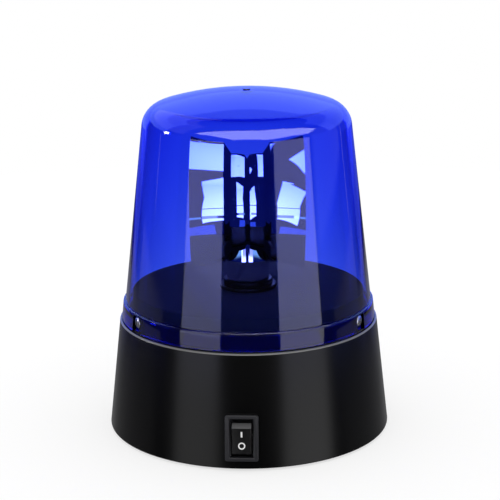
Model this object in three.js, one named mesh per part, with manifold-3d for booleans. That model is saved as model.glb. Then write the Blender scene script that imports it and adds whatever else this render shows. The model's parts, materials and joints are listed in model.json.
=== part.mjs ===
// A battery powered rotating beacon light: a black conical base with a rocker switch, a clear blue lens
// held by three radial screws, and a chromed two-horn reflector that a small motor turns round fixed LEDs.
// Millimetres, +Z up, origin on the ground under the middle of the base, switch towards -Y.
import * as THREE from 'three';
import { mergeVertices } from 'three/addons/utils/BufferGeometryUtils.js';
import Module from 'manifold-3d';

const wasm = await Module();
wasm.setup();

// Clearances shared by all pieces
const gap = 0.3;
const runningGap = 0.5;
const overrun = 2;

// Base housing
const baseFlare = 6;
const rimHeight = 53;
const housingLift = 0.8;
const baseWall = 2.5;
const edgeRound = 0.8;
const shelfDrop = 6;
const shelfThickness = 2.5;
const shelfWidth = 9.1;

// Lens, from its shoulder down to its foot on the rim
const sweepClearance = 6;
const lensHeadroom = 22;
const lensWall = 2.2;
const shoulderRound = 11.5;
const crownEdgeDegrees = 16.8;
const lensTaper = 9.4;
const ledgeWidth = 1;
const ledgeRise = 9;
const ledgeRound = 0.7;
const flangeDraft = 0.9;
const flangeWall = 3.5;
const lensSetback = 0.9;
const pipRadius = 1.8;
const pipHeight = 0.5;

// Lens screws, their recesses in the lens flange and their pilot bosses in the deck
const lensScrewDrop = 3.7;
const lensRecessDepth = 2.2;
const lensRecessWidth = 7;
const lensRecessRoof = 0.8;
const lensScrewHeadRadius = 2.4;
const lensScrewHeadHeight = 1.2;
const lensScrewRadius = 1.1;
const lensScrewLength = 8;
const lensBossRadius = 3.2;

// Lens seal
const sealInset = 0.8;
const sealWidth = 1.8;
const sealThickness = 0.8;
const sealSqueeze = 0.5;

// Deck
const deckRise = 5.2;
const deckThickness = 2.5;
const deckSkirtWall = 2.4;
const deckStep = 1.4;
const deckStepDrop = 2.5;
const deckEdgeRound = 0.5;
const deckScrewInset = 4.6;
const deckBossRadius = 3.4;
const deckBossHeight = 12;
const deckScrewRadius = 1.2;
const deckScrewLength = 11;
const deckScrewHeadRadius = 2.6;
const deckScrewHeadHeight = 1.5;
const hubRingWidth = 3;
const hubRingDepth = 2.7;

// Gear plate under the deck
const gearPlateThickness = 2;
const gearPlateMargin = 2;
const gearPostInset = 4;
const gearPostRadius = 3.2;
const gearScrewRadius = 1.1;
const gearScrewLength = 7;
const gearScrewHeadRadius = 2.2;
const gearScrewHeadHeight = 1.3;

// Gears
const gearCentreDistance = 30;
const rotorTeeth = 48;
const pinionTeeth = 12;
const pressureDegrees = 25;
const addendumShare = 0.8;
const dedendumShare = 1.1;
const toothThinningShare = 0.36;
const gearFace = 4.5;
const gearRise = 1;
const thrustBossWidth = 1.3;

// Rotor and its bearing
const rotorTubeWall = 2.8;
const tubeEndGap = 3.2;
const bearingGap = 0.4;
const bushWall = 2.1;
const bushFlangeWidth = 2.8;
const bushFlangeThickness = 1.5;
const collarWidth = 3.4;
const collarHeight = 2.3;
const collarRound = 0.6;

// Reflector: two horns back to back on a level axis, with two beads round the waist
const reflectorLift = 9.4;
const hornMouthRadius = 31.2;
const hornHalfLength = 26;
const hornThroatRadius = 27.9;
const hornThroatHalf = 10.7;
const beadRadius = 4.2;
const beadOffset = 3.8;
const beadTop = 22.9;
const beadEdge = 6.2;
const hornSwell = 0.7;
const hornWall = 1.5;
const seamRise = 3.8;

// Lamp on its fixed post
const postRadius = 4.9;
const postWall = 1.7;
const postFlangeWidth = 3.6;
const postFlangeThickness = 1.2;
const holderWidth = 9;
const holderHeight = 14;
const holderDrop = 9.5;
const ledRadius = 2.5;
const ledLength = 8.6;
const ledRimRadius = 2.9;
const ledRimThickness = 1;
const ledLegDepth = 2;

// Motor
const motorRadius = 10;
const motorFlatHalf = 7.6;
const motorWall = 0.8;
const motorRise = 7.5;
const motorFaceThickness = 1;
const motorBossRadius = 3;
const motorBossHeight = 1.5;
const motorShaftRadius = 1;
const motorCapThickness = 1.8;
const motorCapPlug = 2.6;
const armatureRadius = 6.5;
const armatureInset = 6;
const magnetInnerRadius = 7.1;
const magnetOuterRadius = 8.8;
const magnetHalfDegrees = 40;
const magnetInset = 5;
const motorScrewOffset = 5;
const motorScrewRadius = 0.9;
const motorScrewHeadRadius = 1.6;
const motorScrewHeadHeight = 1;
const motorScrewLength = 2.4;

// Bottom plate, its screws, feet and battery door
const plateBottom = 1.5;
const plateThickness = 3.5;
const plateScrewInset = 9.5;
const plateBossRadius = 4;
const plateBossHeight = 16;
const plateScrewRadius = 1.3;
const plateScrewLength = 11;
const plateScrewHeadRadius = 2.8;
const plateScrewHeadHeight = 1.6;
const footInset = 12;
const footRadius = 5;
const footHeight = 2.2;
const footRound = 0.5;
const doorThickness = 2.2;
const doorTongueThickness = 0.9;
const doorTongueReach = 1.7;
const doorEndOverlap = 3.3;
const doorSideOverlap = 2.05;
const doorTravel = 10;
const gripWidth = 1.2;
const gripDepth = 0.6;
const gripHalfLength = 8;
const gripPitch = 2.8;
const gripCount = 4;

// Battery bay with three cells side by side
const cellRadius = 7.25;
const cellLength = 49;
const cellNubRadius = 2.7;
const cellNubHeight = 1.2;
const cellRound = 0.7;
const cellCount = 3;
const contactRoom = 3.5;
const bayWall = 1.8;
const contactThickness = 0.5;
const contactWidth = 9;
const contactTabWidth = 4;
const contactSpringReach = 1.4;
const contactSpringHeight = 3;
const tabHeight = 4.4;

// Control board on the bay's roof
const boardOverhang = 2.4;
const boardWidth = 18;
const boardThickness = 1.4;
const boardEdgeInset = 3.65;
const boardPostRadius = 2;
const boardPostHeight = 1.2;
const boardPostInset = 4;
const capacitorRadius = 3.2;
const capacitorHeight = 8;
const capacitorRound = 0.5;
const chipLength = 8;
const chipWidth = 5;
const chipHeight = 1.6;

// Rocker switch, drawn with its face towards -Y and its long side up
const switchTurnDegrees = -3;
const switchHeight = 15.3;
const bezelHalfWidth = 7.5;
const bezelHalfHeight = 10.5;
const bezelThickness = 1.9;
const bezelRound = 0.9;
const bezelSideBorder = 2.1;
const bezelEndBorder = 1.65;
const windowChamfer = 0.6;
const bezelLip = 1.1;
const switchBodyDepth = 11;
const switchBackWall = 1.6;
const rockerSideGap = 1;
const rockerEndGap = 1.35;
const rockerTipInset = 1.1;
const rockerFaceRise = 2.6;
const rockerDip = 0.9;
const rockerEndDrop = 1;
const rockerRoot = 1.6;
const rockerPivotDepth = 3;
const rockerPinRadius = 1.1;
const rockerTiltDegrees = 12;
const terminalHalfWidth = 2.2;
const terminalThickness = 0.8;
const terminalLength = 9;
const terminalInner = 1.2;
const terminalOffset = 4.5;

// Leads
const leadRadius = 0.7;
const leadBend = 6;

// Numbers of facets
const fineSides = 32;
const plainSides = 16;
const smallSides = 8;
const leadArcs = 3;
const leadSteps = 9;
const arcSteps = 4;
const hornSteps = 3;
const flankSteps = 2;
const mergeDistance = 1e-5;

const degree = Math.PI / 180;
const root = new THREE.Group();

// Radii from the turning reflector outwards: the lens clears its sweep, and the base carries the lens
const sweepRadius = Math.hypot(hornMouthRadius, hornHalfLength);
const lensShoulderRadius = sweepRadius + sweepClearance + lensWall;
const lensLowRadius = lensShoulderRadius + lensTaper;
const lensLedgeRadius = lensLowRadius + ledgeWidth;
const lensFootRadius = lensLedgeRadius + flangeDraft;
const lensBoreRadius = lensFootRadius - flangeWall;
const lensScrewFloorRadius = lensFootRadius - lensRecessDepth;
const sealInnerRadius = lensBoreRadius + sealInset;
const baseRimRadius = lensFootRadius + lensSetback;
const baseBottomRadius = baseRimRadius + baseFlare;
const plateScrewCircle = baseBottomRadius - plateScrewInset;
const footCircle = baseBottomRadius - footInset;
const deckBoreRadius = lensBoreRadius;
const deckSkirtRadius = deckBoreRadius - runningGap;
const deckRadius = deckSkirtRadius - deckStep;
const deckScrewCircle = deckSkirtRadius - deckScrewInset;
const shelfInnerRadius = deckSkirtRadius - shelfWidth;
const gearPlateRadius = gearCentreDistance + motorRadius + gearPlateMargin;
const gearPostCircle = gearPlateRadius - gearPostInset;
const rotorBoreRadius = postRadius + runningGap;
const rotorTubeRadius = rotorBoreRadius + rotorTubeWall;
const bushInnerRadius = rotorTubeRadius + bearingGap;
const bushOuterRadius = bushInnerRadius + bushWall;
const reflectorHubRadius = rotorTubeRadius + gap + hornWall;
const baseTilt = Math.atan(baseFlare / rimHeight);
const baseRadiusAt = (z) => THREE.MathUtils.lerp(baseBottomRadius, baseRimRadius, z / rimHeight);

// Heights from the bottom plate up to the battery bay and the board, and from the rim up to the lens
const plateTop = plateBottom + plateThickness;
const plateRadius = baseRadiusAt(plateTop) - baseWall - gap;
const doorTop = plateBottom + doorThickness;
const cellHeight = doorTop + 2 * gap + cellRadius;
const bayCeiling = cellHeight + cellRadius + 2 * gap;
const bayTop = bayCeiling + bayWall;
const boardBottom = bayTop + boardPostHeight;
const boardTop = boardBottom + boardThickness;
const shelfHeight = rimHeight - shelfDrop;
const ledgeHeight = rimHeight + ledgeRise;
const lensFoot = rimHeight + sealSqueeze;
const sealGrooveDepth = sealThickness + 2 * gap - sealSqueeze;
const lensScrewHeight = ledgeHeight - lensScrewDrop;
const deckFoot = shelfHeight + gap;
const deckTop = ledgeHeight + deckRise;
const deckUnderside = deckTop - deckThickness;
const deckStepHeight = ledgeHeight - deckStepDrop;
const gearTop = deckUnderside - hubRingDepth - runningGap;
const gearBottom = gearTop - gearFace;
const gearPlateTop = gearBottom - gearRise;
const gearPlateHeight = gearPlateTop - gearPlateThickness;
const motorTop = gearPlateHeight - gap;
const motorBottom = bayTop + motorRise;
const bushFlangeTop = deckTop + gap + bushFlangeThickness;
const collarBottom = bushFlangeTop + gap;
const collarTop = collarBottom + collarHeight;
const reflectorAxisHeight = deckTop + reflectorLift + hornMouthRadius;
const reflectorHubEnd = reflectorAxisHeight - beadTop + beadRadius;
const rotorTubeTop = reflectorHubEnd - tubeEndGap;
const postTop = reflectorAxisHeight - holderDrop - gap;
const lensTop = reflectorAxisHeight + hornMouthRadius + lensHeadroom;

// Lengths of the motor, the battery bay and its door, and the switch
const gearModule = (2 * gearCentreDistance) / (rotorTeeth + pinionTeeth);
const motorLength = motorTop - motorBottom;
const cellPitch = 2 * cellRadius + 2 * gap;
const bayHalfLength = (cellLength + cellNubHeight) / 2 + contactRoom;
const bayHalfWidth = cellPitch + cellRadius + runningGap;
const doorHalfLength = bayHalfLength + bayWall + doorEndOverlap;
const doorHalfWidth = bayHalfWidth + bayWall + doorSideOverlap;
const boardHalfLength = bayHalfLength + boardOverhang;
const boardFrontEdge = boardEdgeInset - bayHalfWidth - bayWall;
const windowHalfWidth = bezelHalfWidth - bezelSideBorder;
const windowHalfHeight = bezelHalfHeight - bezelEndBorder;
const switchBodyHalfWidth = bezelHalfWidth - bezelLip;
const switchBodyHalfHeight = bezelHalfHeight - bezelLip;
const rockerHalfWidth = windowHalfWidth - rockerSideGap;
const rockerEndHalf = windowHalfHeight - rockerEndGap;
const rockerTipHalf = rockerEndHalf - rockerTipInset;

// Thirds of a turn for the screws: the lens screws stand between the others
const lensScrewDegrees = [-150, -30, 90];
const deckScrewDegrees = [30, 150, 270];
const plateScrewDegrees = [90, 210, 330];
const footDegrees = [45, 135, 225, 315];

// Finishes
const blackPlastic = { color: 0x141416, roughness: 0.45, metalness: 0 };
const blueClear = { color: 0x2636ff, roughness: 0.05, metalness: 0, transparent: true, opacity: 0.55 };
const chrome = { color: 0xe6e8ee, roughness: 0.06, metalness: 1 };
const steel = { color: 0xb4b6ba, roughness: 0.3, metalness: 1 };
const brass = { color: 0xc9a24a, roughness: 0.35, metalness: 1 };
const rubber = { color: 0x101010, roughness: 0.9, metalness: 0 };
const whitePlastic = { color: 0xe8e6df, roughness: 0.5, metalness: 0 };
const boardGreen = { color: 0x1f5a34, roughness: 0.5, metalness: 0 };
const clearPlastic = { color: 0xf2f6ff, roughness: 0.05, metalness: 0 };
const copper = { color: 0xb8653a, roughness: 0.35, metalness: 1 };
const redCover = { color: 0xa01818, roughness: 0.5, metalness: 0 };

// Turns a closed three.js geometry into a solid that can be joined and cut
function solid(geometry) {
  const bare = geometry.clone();
  bare.deleteAttribute('normal');
  if (bare.getAttribute('uv')) bare.deleteAttribute('uv');
  const merged = mergeVertices(bare, mergeDistance);
  const vertProperties = new Float32Array(merged.getAttribute('position').array);
  const triVerts = new Uint32Array(merged.getIndex().array);
  return new wasm.Manifold(new wasm.Mesh({ numProp: 3, vertProperties, triVerts }));
}

function geometryOf(shape) {
  const mesh = shape.getMesh();
  const geometry = new THREE.BufferGeometry();
  geometry.setAttribute('position', new THREE.BufferAttribute(new Float32Array(mesh.vertProperties), 3));
  geometry.setIndex(new THREE.BufferAttribute(new Uint32Array(mesh.triVerts), 1));
  return geometry;
}

function place(name, shape, finish, parent = root) {
  const geometry = shape.isBufferGeometry ? shape : geometryOf(shape);
  const mesh = new THREE.Mesh(geometry, new THREE.MeshStandardMaterial(finish));
  mesh.name = name;
  parent.add(mesh);
  return mesh;
}

// A turned shape from [radius, height] points that start and end on the axis or close on themselves
function turned(points, sides) {
  const outline = points.map(([radius, height]) => new THREE.Vector2(radius, height));
  if (THREE.ShapeUtils.isClockWise(outline)) outline.reverse();
  return new THREE.LatheGeometry(outline, sides).rotateX(Math.PI / 2);
}

function ring(inner, outer, bottom, top, sides) {
  const loop = [[inner, bottom], [outer, bottom], [outer, top], [inner, top], [inner, bottom]];
  return solid(turned(loop, sides));
}

function rod(radius, bottom, top, sides) {
  const bar = new THREE.CylinderGeometry(radius, radius, top - bottom, sides);
  return solid(bar.rotateX(Math.PI / 2).translate(0, 0, (bottom + top) / 2));
}

function rodAt(x, y, radius, bottom, top, sides) {
  return rod(radius, bottom, top, sides).translate([x, y, 0]);
}

function block(x0, x1, y0, y1, z0, z1) {
  const box = new THREE.BoxGeometry(x1 - x0, y1 - y0, z1 - z0);
  return solid(box.translate((x0 + x1) / 2, (y0 + y1) / 2, (z0 + z1) / 2));
}

// The place at a radius and an angle from +X, seen from above
function onCircle(radius, degrees) {
  return [radius * Math.cos(degrees * degree), radius * Math.sin(degrees * degree)];
}

function arcPoints(centreRadius, centreHeight, radius, from, to, steps) {
  const points = [];
  for (let i = 0; i <= steps; i++) {
    const angle = from + ((to - from) * i) / steps;
    points.push([centreRadius + radius * Math.cos(angle), centreHeight + radius * Math.sin(angle)]);
  }
  return points;
}

// A cross-head screw that points down from its seat at height 0, with its head above
function screwShape(headRadius, headHeight, shankRadius, length) {
  const domeShare = 0.55;
  const crownShare = 0.7;
  const profile = [
    [0, -length],
    [shankRadius, -length + shankRadius],
    [shankRadius, 0],
    [headRadius, 0],
    [headRadius, headHeight * domeShare],
    [headRadius * crownShare, headHeight],
    [0, headHeight],
  ];
  const slotLengthShare = 0.55;
  const slotWidthShare = 0.14;
  const slotDepthShare = 0.6;
  const reach = headRadius * slotLengthShare;
  const half = headRadius * slotWidthShare;
  const floor = headHeight * (1 - slotDepthShare);
  return solid(turned(profile, smallSides))
    .subtract(block(-reach, reach, -half, half, floor, headHeight + overrun))
    .subtract(block(-half, half, -reach, reach, floor, headHeight + overrun));
}

// Base housing

function housingProfile() {
  const inner = (z) => baseRadiusAt(z) - baseWall;
  const shelfBottom = shelfHeight - shelfThickness;
  const grooveInner = sealInnerRadius - gap;
  const grooveOuter = sealInnerRadius + sealWidth + gap;
  return [
    [inner(housingLift), housingLift],
    [baseRadiusAt(housingLift) - edgeRound, housingLift],
    [baseRadiusAt(housingLift + edgeRound), housingLift + edgeRound],
    [baseRadiusAt(rimHeight - edgeRound), rimHeight - edgeRound],
    [baseRimRadius - edgeRound, rimHeight],
    [grooveOuter, rimHeight],
    [grooveOuter, rimHeight - sealGrooveDepth],
    [grooveInner, rimHeight - sealGrooveDepth],
    [grooveInner, rimHeight],
    [deckBoreRadius, rimHeight],
    [deckBoreRadius, shelfHeight],
    [shelfInnerRadius, shelfHeight],
    [shelfInnerRadius, shelfBottom],
    [inner(shelfBottom), shelfBottom],
    [inner(housingLift), housingLift],
  ];
}

function switchPlace() {
  const lean = new THREE.Matrix4().makeRotationX(-baseTilt);
  const out = new THREE.Matrix4().makeTranslation(0, -baseRadiusAt(switchHeight), switchHeight);
  const turn = new THREE.Matrix4().makeRotationZ(switchTurnDegrees * degree);
  return turn.multiply(out).multiply(lean);
}

function switchOpening(clearance, depth) {
  const halfWidth = switchBodyHalfWidth + clearance;
  const halfHeight = switchBodyHalfHeight + clearance;
  const box = new THREE.BoxGeometry(2 * halfWidth, depth, 2 * halfHeight);
  return solid(box.applyMatrix4(switchPlace()));
}

function makeHousing() {
  let shape = solid(turned(housingProfile(), fineSides));
  const bossBottom = plateTop + gap;
  for (const angle of plateScrewDegrees) {
    const [x, y] = onCircle(plateScrewCircle, angle);
    const bossTop = bossBottom + plateBossHeight;
    const webEnd = baseRadiusAt(bossTop) - baseWall / 2;
    const web = block(plateScrewCircle, webEnd, -baseWall / 2, baseWall / 2, bossBottom, bossTop);
    const pilot = rodAt(x, y, plateScrewRadius + gap, plateBottom, bossTop - baseWall, smallSides);
    shape = shape
      .add(rodAt(x, y, plateBossRadius, bossBottom, bossTop, smallSides))
      .add(web.rotate([0, 0, angle]))
      .subtract(pilot);
  }
  for (const angle of deckScrewDegrees) {
    const [x, y] = onCircle(deckScrewCircle, angle);
    const shelfBottom = shelfHeight - shelfThickness;
    shape = shape
      .subtract(rodAt(x, y, deckScrewRadius + gap, shelfBottom - overrun, shelfHeight + overrun, smallSides));
  }
  shape = shape.subtract(switchOpening(gap, 4 * baseWall));
  place('base_housing', shape, blackPlastic);
}

// Bottom plate with the battery bay, its door, screws and feet

function makeBottomPlate() {
  const doorLip = doorTop - doorTongueThickness - gap;
  const recessEnd = doorHalfLength + gap;
  const tongueHalf = doorHalfWidth + doorTongueReach + gap;
  const slotHalf = doorHalfWidth + gap;
  const slotEnd = recessEnd + doorTravel;
  const slotTop = doorTop + gap;
  const doorSlot = block(-recessEnd, slotEnd, -slotHalf, slotHalf, plateBottom - overrun, slotTop);
  const tongueSlot = block(-recessEnd, slotEnd, -tongueHalf, tongueHalf, doorLip, slotTop);
  let shape = rod(plateRadius, plateBottom, plateTop, fineSides)
    .add(block(-bayHalfLength - bayWall, bayHalfLength + bayWall, -bayHalfWidth - bayWall,
      bayHalfWidth + bayWall, plateBottom + plateThickness / 2, bayTop))
    .subtract(doorSlot)
    .subtract(tongueSlot)
    .subtract(block(-bayHalfLength, bayHalfLength, -bayHalfWidth, bayHalfWidth, plateBottom, bayCeiling));
  const low = plateBottom - overrun;
  for (const angle of plateScrewDegrees) {
    const [x, y] = onCircle(plateScrewCircle, angle);
    const seat = plateBottom + plateScrewHeadHeight + gap;
    shape = shape
      .subtract(rodAt(x, y, plateScrewRadius + gap, low, plateTop + overrun, smallSides))
      .subtract(rodAt(x, y, plateScrewHeadRadius + gap, low, seat, smallSides));
  }
  for (const angle of footDegrees) {
    const [x, y] = onCircle(footCircle, angle);
    shape = shape.subtract(rodAt(x, y, footRadius + gap, low, footHeight + gap, plainSides));
  }
  for (const side of [-1, 1]) {
    const x = side * (boardHalfLength - boardPostInset);
    const y = boardFrontEdge + boardWidth / 2;
    const tabX = side * (bayHalfLength - gap - contactThickness / 2);
    const tabHalf = contactTabWidth / 2 + gap;
    const tabY = side * cellPitch;
    shape = shape
      .add(rodAt(x, y, boardPostRadius, bayTop - bayWall / 2, boardBottom - gap, smallSides))
      .subtract(block(tabX - contactThickness / 2 - gap, tabX + contactThickness / 2 + gap,
        tabY - tabHalf, tabY + tabHalf, bayCeiling - overrun, bayTop + overrun));
  }
  const notch = switchOpening(2 * gap, 2 * switchBodyDepth + 2 * overrun);
  place('bottom_plate', shape.subtract(notch), blackPlastic);
}

function makeBatteryDoor() {
  const tongueHalf = doorHalfWidth + doorTongueReach;
  const tongueBottom = doorTop - doorTongueThickness;
  let shape = block(-doorHalfLength, doorHalfLength, -doorHalfWidth, doorHalfWidth, plateBottom, doorTop)
    .add(block(-doorHalfLength, doorHalfLength, -tongueHalf, tongueHalf, tongueBottom, doorTop));
  const gripEnd = -doorHalfLength + 2 * gripPitch;
  for (let i = 0; i < gripCount; i++) {
    const x = gripEnd + i * gripPitch;
    shape = shape.subtract(block(x, x + gripWidth, -gripHalfLength, gripHalfLength,
      plateBottom - overrun, plateBottom + gripDepth));
  }
  place('battery_door', shape, blackPlastic);
}

function makeFeet() {
  const profile = [
    [0, 0],
    [footRadius - footRound, 0],
    [footRadius, footRound],
    [footRadius, footHeight],
    [0, footHeight],
  ];
  footDegrees.forEach((angle, i) => {
    const foot = place(`foot_${i + 1}`, turned(profile, plainSides), rubber);
    const [x, y] = onCircle(footCircle, angle);
    foot.position.set(x, y, 0);
  });
}

// Screws that point straight up, with the head underneath
function upwardScrews(name, circle, angles, seat, shape) {
  angles.forEach((angle, i) => {
    const screw = place(`${name}_${i + 1}`, shape, steel);
    const [x, y] = onCircle(circle, angle);
    screw.position.set(x, y, seat);
    screw.rotation.set(Math.PI, 0, 0);
  });
}

function makeUpwardScrews() {
  const plateScrew = screwShape(plateScrewHeadRadius, plateScrewHeadHeight, plateScrewRadius,
    plateScrewLength);
  const plateSeat = plateBottom + plateScrewHeadHeight;
  upwardScrews('bottom_screw', plateScrewCircle, plateScrewDegrees, plateSeat, plateScrew);
  const deckScrew = screwShape(deckScrewHeadRadius, deckScrewHeadHeight, deckScrewRadius, deckScrewLength);
  const deckSeat = shelfHeight - shelfThickness - gap;
  upwardScrews('deck_screw', deckScrewCircle, deckScrewDegrees, deckSeat, deckScrew);
  const gearScrew = screwShape(gearScrewHeadRadius, gearScrewHeadHeight, gearScrewRadius, gearScrewLength);
  const gearSeat = gearPlateHeight - gap;
  upwardScrews('gear_plate_screw', gearPostCircle, deckScrewDegrees, gearSeat, gearScrew);
}

// Lens, its seal and its radial screws

// The lens outline drawn in by a wall thickness, from the crown's edge down to the ledge
function lensCurve(inset) {
  const crownEdge = crownEdgeDegrees * degree;
  const shoulderCentre = lensShoulderRadius - shoulderRound;
  const crownRadius = (shoulderCentre + shoulderRound * Math.sin(crownEdge)) / Math.sin(crownEdge);
  const crownCentre = lensTop - crownRadius;
  const shoulderHeight = crownCentre + (crownRadius - shoulderRound) * Math.cos(crownEdge);
  const lean = Math.atan((lensLowRadius - lensShoulderRadius) / (shoulderHeight - ledgeHeight));
  const crownAngle = Math.PI / 2 - crownEdge;
  const crown = arcPoints(0, crownCentre, crownRadius - inset, Math.PI / 2, crownAngle, arcSteps);
  const shoulder = arcPoints(shoulderCentre, shoulderHeight, shoulderRound - inset, crownAngle, lean,
    arcSteps);
  const low = [lensLowRadius - inset / Math.cos(lean), ledgeHeight];
  return [...crown, ...shoulder.slice(1), low];
}

function makeLens() {
  const outer = lensCurve(0).slice(1);
  const inner = lensCurve(lensWall);
  inner[0][0] = 0;
  const profile = [
    [0, lensTop + pipHeight],
    [pipRadius, lensTop + pipHeight],
    [pipRadius, lensTop],
    ...outer,
    [lensLedgeRadius - ledgeRound, ledgeHeight],
    [lensLedgeRadius, ledgeHeight - ledgeRound],
    [lensFootRadius, lensFoot],
    [lensBoreRadius, lensFoot],
    [lensBoreRadius, ledgeHeight - lensWall],
    ...inner.reverse(),
  ];
  let shape = solid(turned(profile, fineSides));
  const recessTop = ledgeHeight - lensRecessRoof;
  for (const angle of lensScrewDegrees) {
    const recess = block(lensScrewFloorRadius, lensFootRadius + overrun, -lensRecessWidth / 2,
      lensRecessWidth / 2, lensFoot - overrun, recessTop);
    const hole = rod(lensScrewRadius + gap, lensBoreRadius - overrun, lensFootRadius + overrun, smallSides);
    const level = hole.rotate([0, 90, 0]).translate([0, 0, lensScrewHeight]);
    shape = shape.subtract(recess.add(level).rotate([0, 0, angle]));
  }
  place('lens_dome', shape, blueClear);
}

function makeSeal() {
  const bottom = rimHeight - sealGrooveDepth + gap;
  const shape = ring(sealInnerRadius, sealInnerRadius + sealWidth, bottom, bottom + sealThickness, fineSides);
  place('lens_seal', shape, rubber);
}

function makeLensScrews() {
  const shape = screwShape(lensScrewHeadRadius, lensScrewHeadHeight, lensScrewRadius, lensScrewLength);
  lensScrewDegrees.forEach((angle, i) => {
    const turn = new THREE.Group();
    turn.rotation.z = angle * degree;
    root.add(turn);
    const screw = place(`lens_screw_${i + 1}`, shape, steel, turn);
    screw.position.set(lensScrewFloorRadius + gap, 0, lensScrewHeight);
    screw.rotation.y = Math.PI / 2;
  });
}

// Deck inside the lens

function makeDeck() {
  const innerSkirt = deckSkirtRadius - deckSkirtWall;
  const hubHole = bushOuterRadius + gap;
  const ringRadius = hubHole + hubRingWidth;
  const profile = [
    [hubHole, deckTop],
    [hubHole, deckUnderside - hubRingDepth],
    [ringRadius, deckUnderside - hubRingDepth],
    [ringRadius, deckUnderside],
    [deckRadius - deckSkirtWall, deckUnderside],
    [deckRadius - deckSkirtWall, deckStepHeight + deckSkirtWall],
    [innerSkirt, deckStepHeight],
    [innerSkirt, deckFoot],
    [deckSkirtRadius, deckFoot],
    [deckSkirtRadius, deckStepHeight],
    [deckRadius, deckStepHeight + deckSkirtWall],
    [deckRadius, deckTop - deckEdgeRound],
    [deckRadius - deckEdgeRound, deckTop],
    [hubHole, deckTop],
  ];
  let shape = solid(turned(profile, fineSides));
  for (const angle of deckScrewDegrees) {
    const [x, y] = onCircle(deckScrewCircle, angle);
    const [px, py] = onCircle(gearPostCircle, angle);
    const pilotTop = deckFoot + deckBossHeight - deckSkirtWall;
    shape = shape
      .add(rodAt(x, y, deckBossRadius, deckFoot, deckFoot + deckBossHeight, smallSides))
      .subtract(rodAt(x, y, deckScrewRadius + gap, deckFoot - overrun, pilotTop, smallSides))
      .add(rodAt(px, py, gearPostRadius, gearPlateTop + gap, deckUnderside + deckThickness / 2, smallSides))
      .subtract(rodAt(px, py, gearScrewRadius + gap, gearPlateTop - overrun, deckUnderside, smallSides));
  }
  const bossInner = lensScrewFloorRadius - lensScrewLength;
  for (const angle of lensScrewDegrees) {
    const boss = rod(lensBossRadius, bossInner, innerSkirt + deckSkirtWall / 2, smallSides);
    const hole = rod(lensScrewRadius + gap, bossInner - overrun, deckSkirtRadius + overrun, smallSides);
    shape = shape
      .add(boss.rotate([0, 90, 0]).translate([0, 0, lensScrewHeight]).rotate([0, 0, angle]))
      .subtract(hole.rotate([0, 90, 0]).translate([0, 0, lensScrewHeight]).rotate([0, 0, angle]));
  }
  place('deck_plate', shape, blackPlastic);
}

function makeGearPlate() {
  const low = gearPlateHeight - overrun;
  const high = gearPlateTop + overrun;
  let shape = rod(gearPlateRadius, gearPlateHeight, gearPlateTop, fineSides)
    .subtract(rod(postRadius + gap, low, high, plainSides))
    .subtract(rodAt(0, gearCentreDistance, motorBossRadius + gap, low, high, plainSides));
  for (const angle of deckScrewDegrees) {
    const [x, y] = onCircle(gearPostCircle, angle);
    shape = shape.subtract(rodAt(x, y, gearScrewRadius + gap, low, high, smallSides));
  }
  for (const side of [-1, 1]) {
    const x = side * motorScrewOffset;
    const seat = gearPlateTop - motorScrewHeadHeight - gap;
    shape = shape
      .subtract(rodAt(x, gearCentreDistance, motorScrewRadius + gap, low, high, smallSides))
      .subtract(rodAt(x, gearCentreDistance, motorScrewHeadRadius + gap, seat, high, smallSides));
  }
  place('gear_plate', shape, steel);
}

// Rotor

// A spur gear's outline: involute flanks thinned at the pitch circle for backlash
function gearShape(teeth, hole, firstTooth) {
  const pitch = (teeth * gearModule) / 2;
  const pressure = pressureDegrees * degree;
  const baseCircle = pitch * Math.cos(pressure);
  const tip = pitch + gearModule * addendumShare;
  const rootRadius = pitch - gearModule * dedendumShare;
  const involute = (angle) => Math.tan(angle) - angle;
  const halfAtPitch = (Math.PI / 2 - toothThinningShare) / teeth;
  const flankStart = Math.max(baseCircle, rootRadius);
  const halfAt = (radius) => {
    const angle = Math.acos(Math.min(1, baseCircle / radius));
    return halfAtPitch + involute(pressure) - involute(angle);
  };
  const flank = [[rootRadius, halfAt(flankStart)]];
  for (let i = 0; i <= flankSteps; i++) {
    const radius = flankStart + ((tip - flankStart) * i) / flankSteps;
    flank.push([radius, halfAt(radius)]);
  }
  const points = [];
  for (let tooth = 0; tooth < teeth; tooth++) {
    const middle = firstTooth + (tooth * 2 * Math.PI) / teeth;
    const rising = flank.map(([radius, half]) => [radius, middle - half]);
    const falling = flank.map(([radius, half]) => [radius, middle + half]).reverse();
    for (const [radius, angle] of [...rising, ...falling]) {
      points.push(new THREE.Vector2(radius * Math.cos(angle), radius * Math.sin(angle)));
    }
  }
  const wheel = new THREE.ExtrudeGeometry(new THREE.Shape(points), { depth: gearFace, bevelEnabled: false });
  return solid(wheel.translate(0, 0, gearBottom))
    .subtract(rod(hole, gearBottom - overrun, gearTop + overrun, smallSides));
}

function makeRotorGear() {
  const tooth = Math.PI / 2;
  const tube = ring(rotorBoreRadius, rotorTubeRadius, gearPlateTop + gap, rotorTubeTop, plainSides);
  const thrustOuter = rotorTubeRadius + thrustBossWidth;
  const thrustTop = gearBottom + gearFace / 2;
  const thrust = ring(rotorBoreRadius, thrustOuter, gearPlateTop + gap, thrustTop, plainSides);
  const wheel = gearShape(rotorTeeth, rotorTubeRadius - gap, tooth);
  place('rotor_gear', wheel.add(thrust).add(tube), whitePlastic);
}

function makeBush() {
  const bottom = deckUnderside - hubRingDepth;
  const flangeRadius = bushOuterRadius + bushFlangeWidth;
  const body = ring(bushInnerRadius, bushOuterRadius, bottom, bushFlangeTop, plainSides);
  const flange = ring(bushInnerRadius, flangeRadius, deckTop + gap, bushFlangeTop, plainSides);
  place('bearing_bush', body.add(flange), blackPlastic);
}

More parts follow.
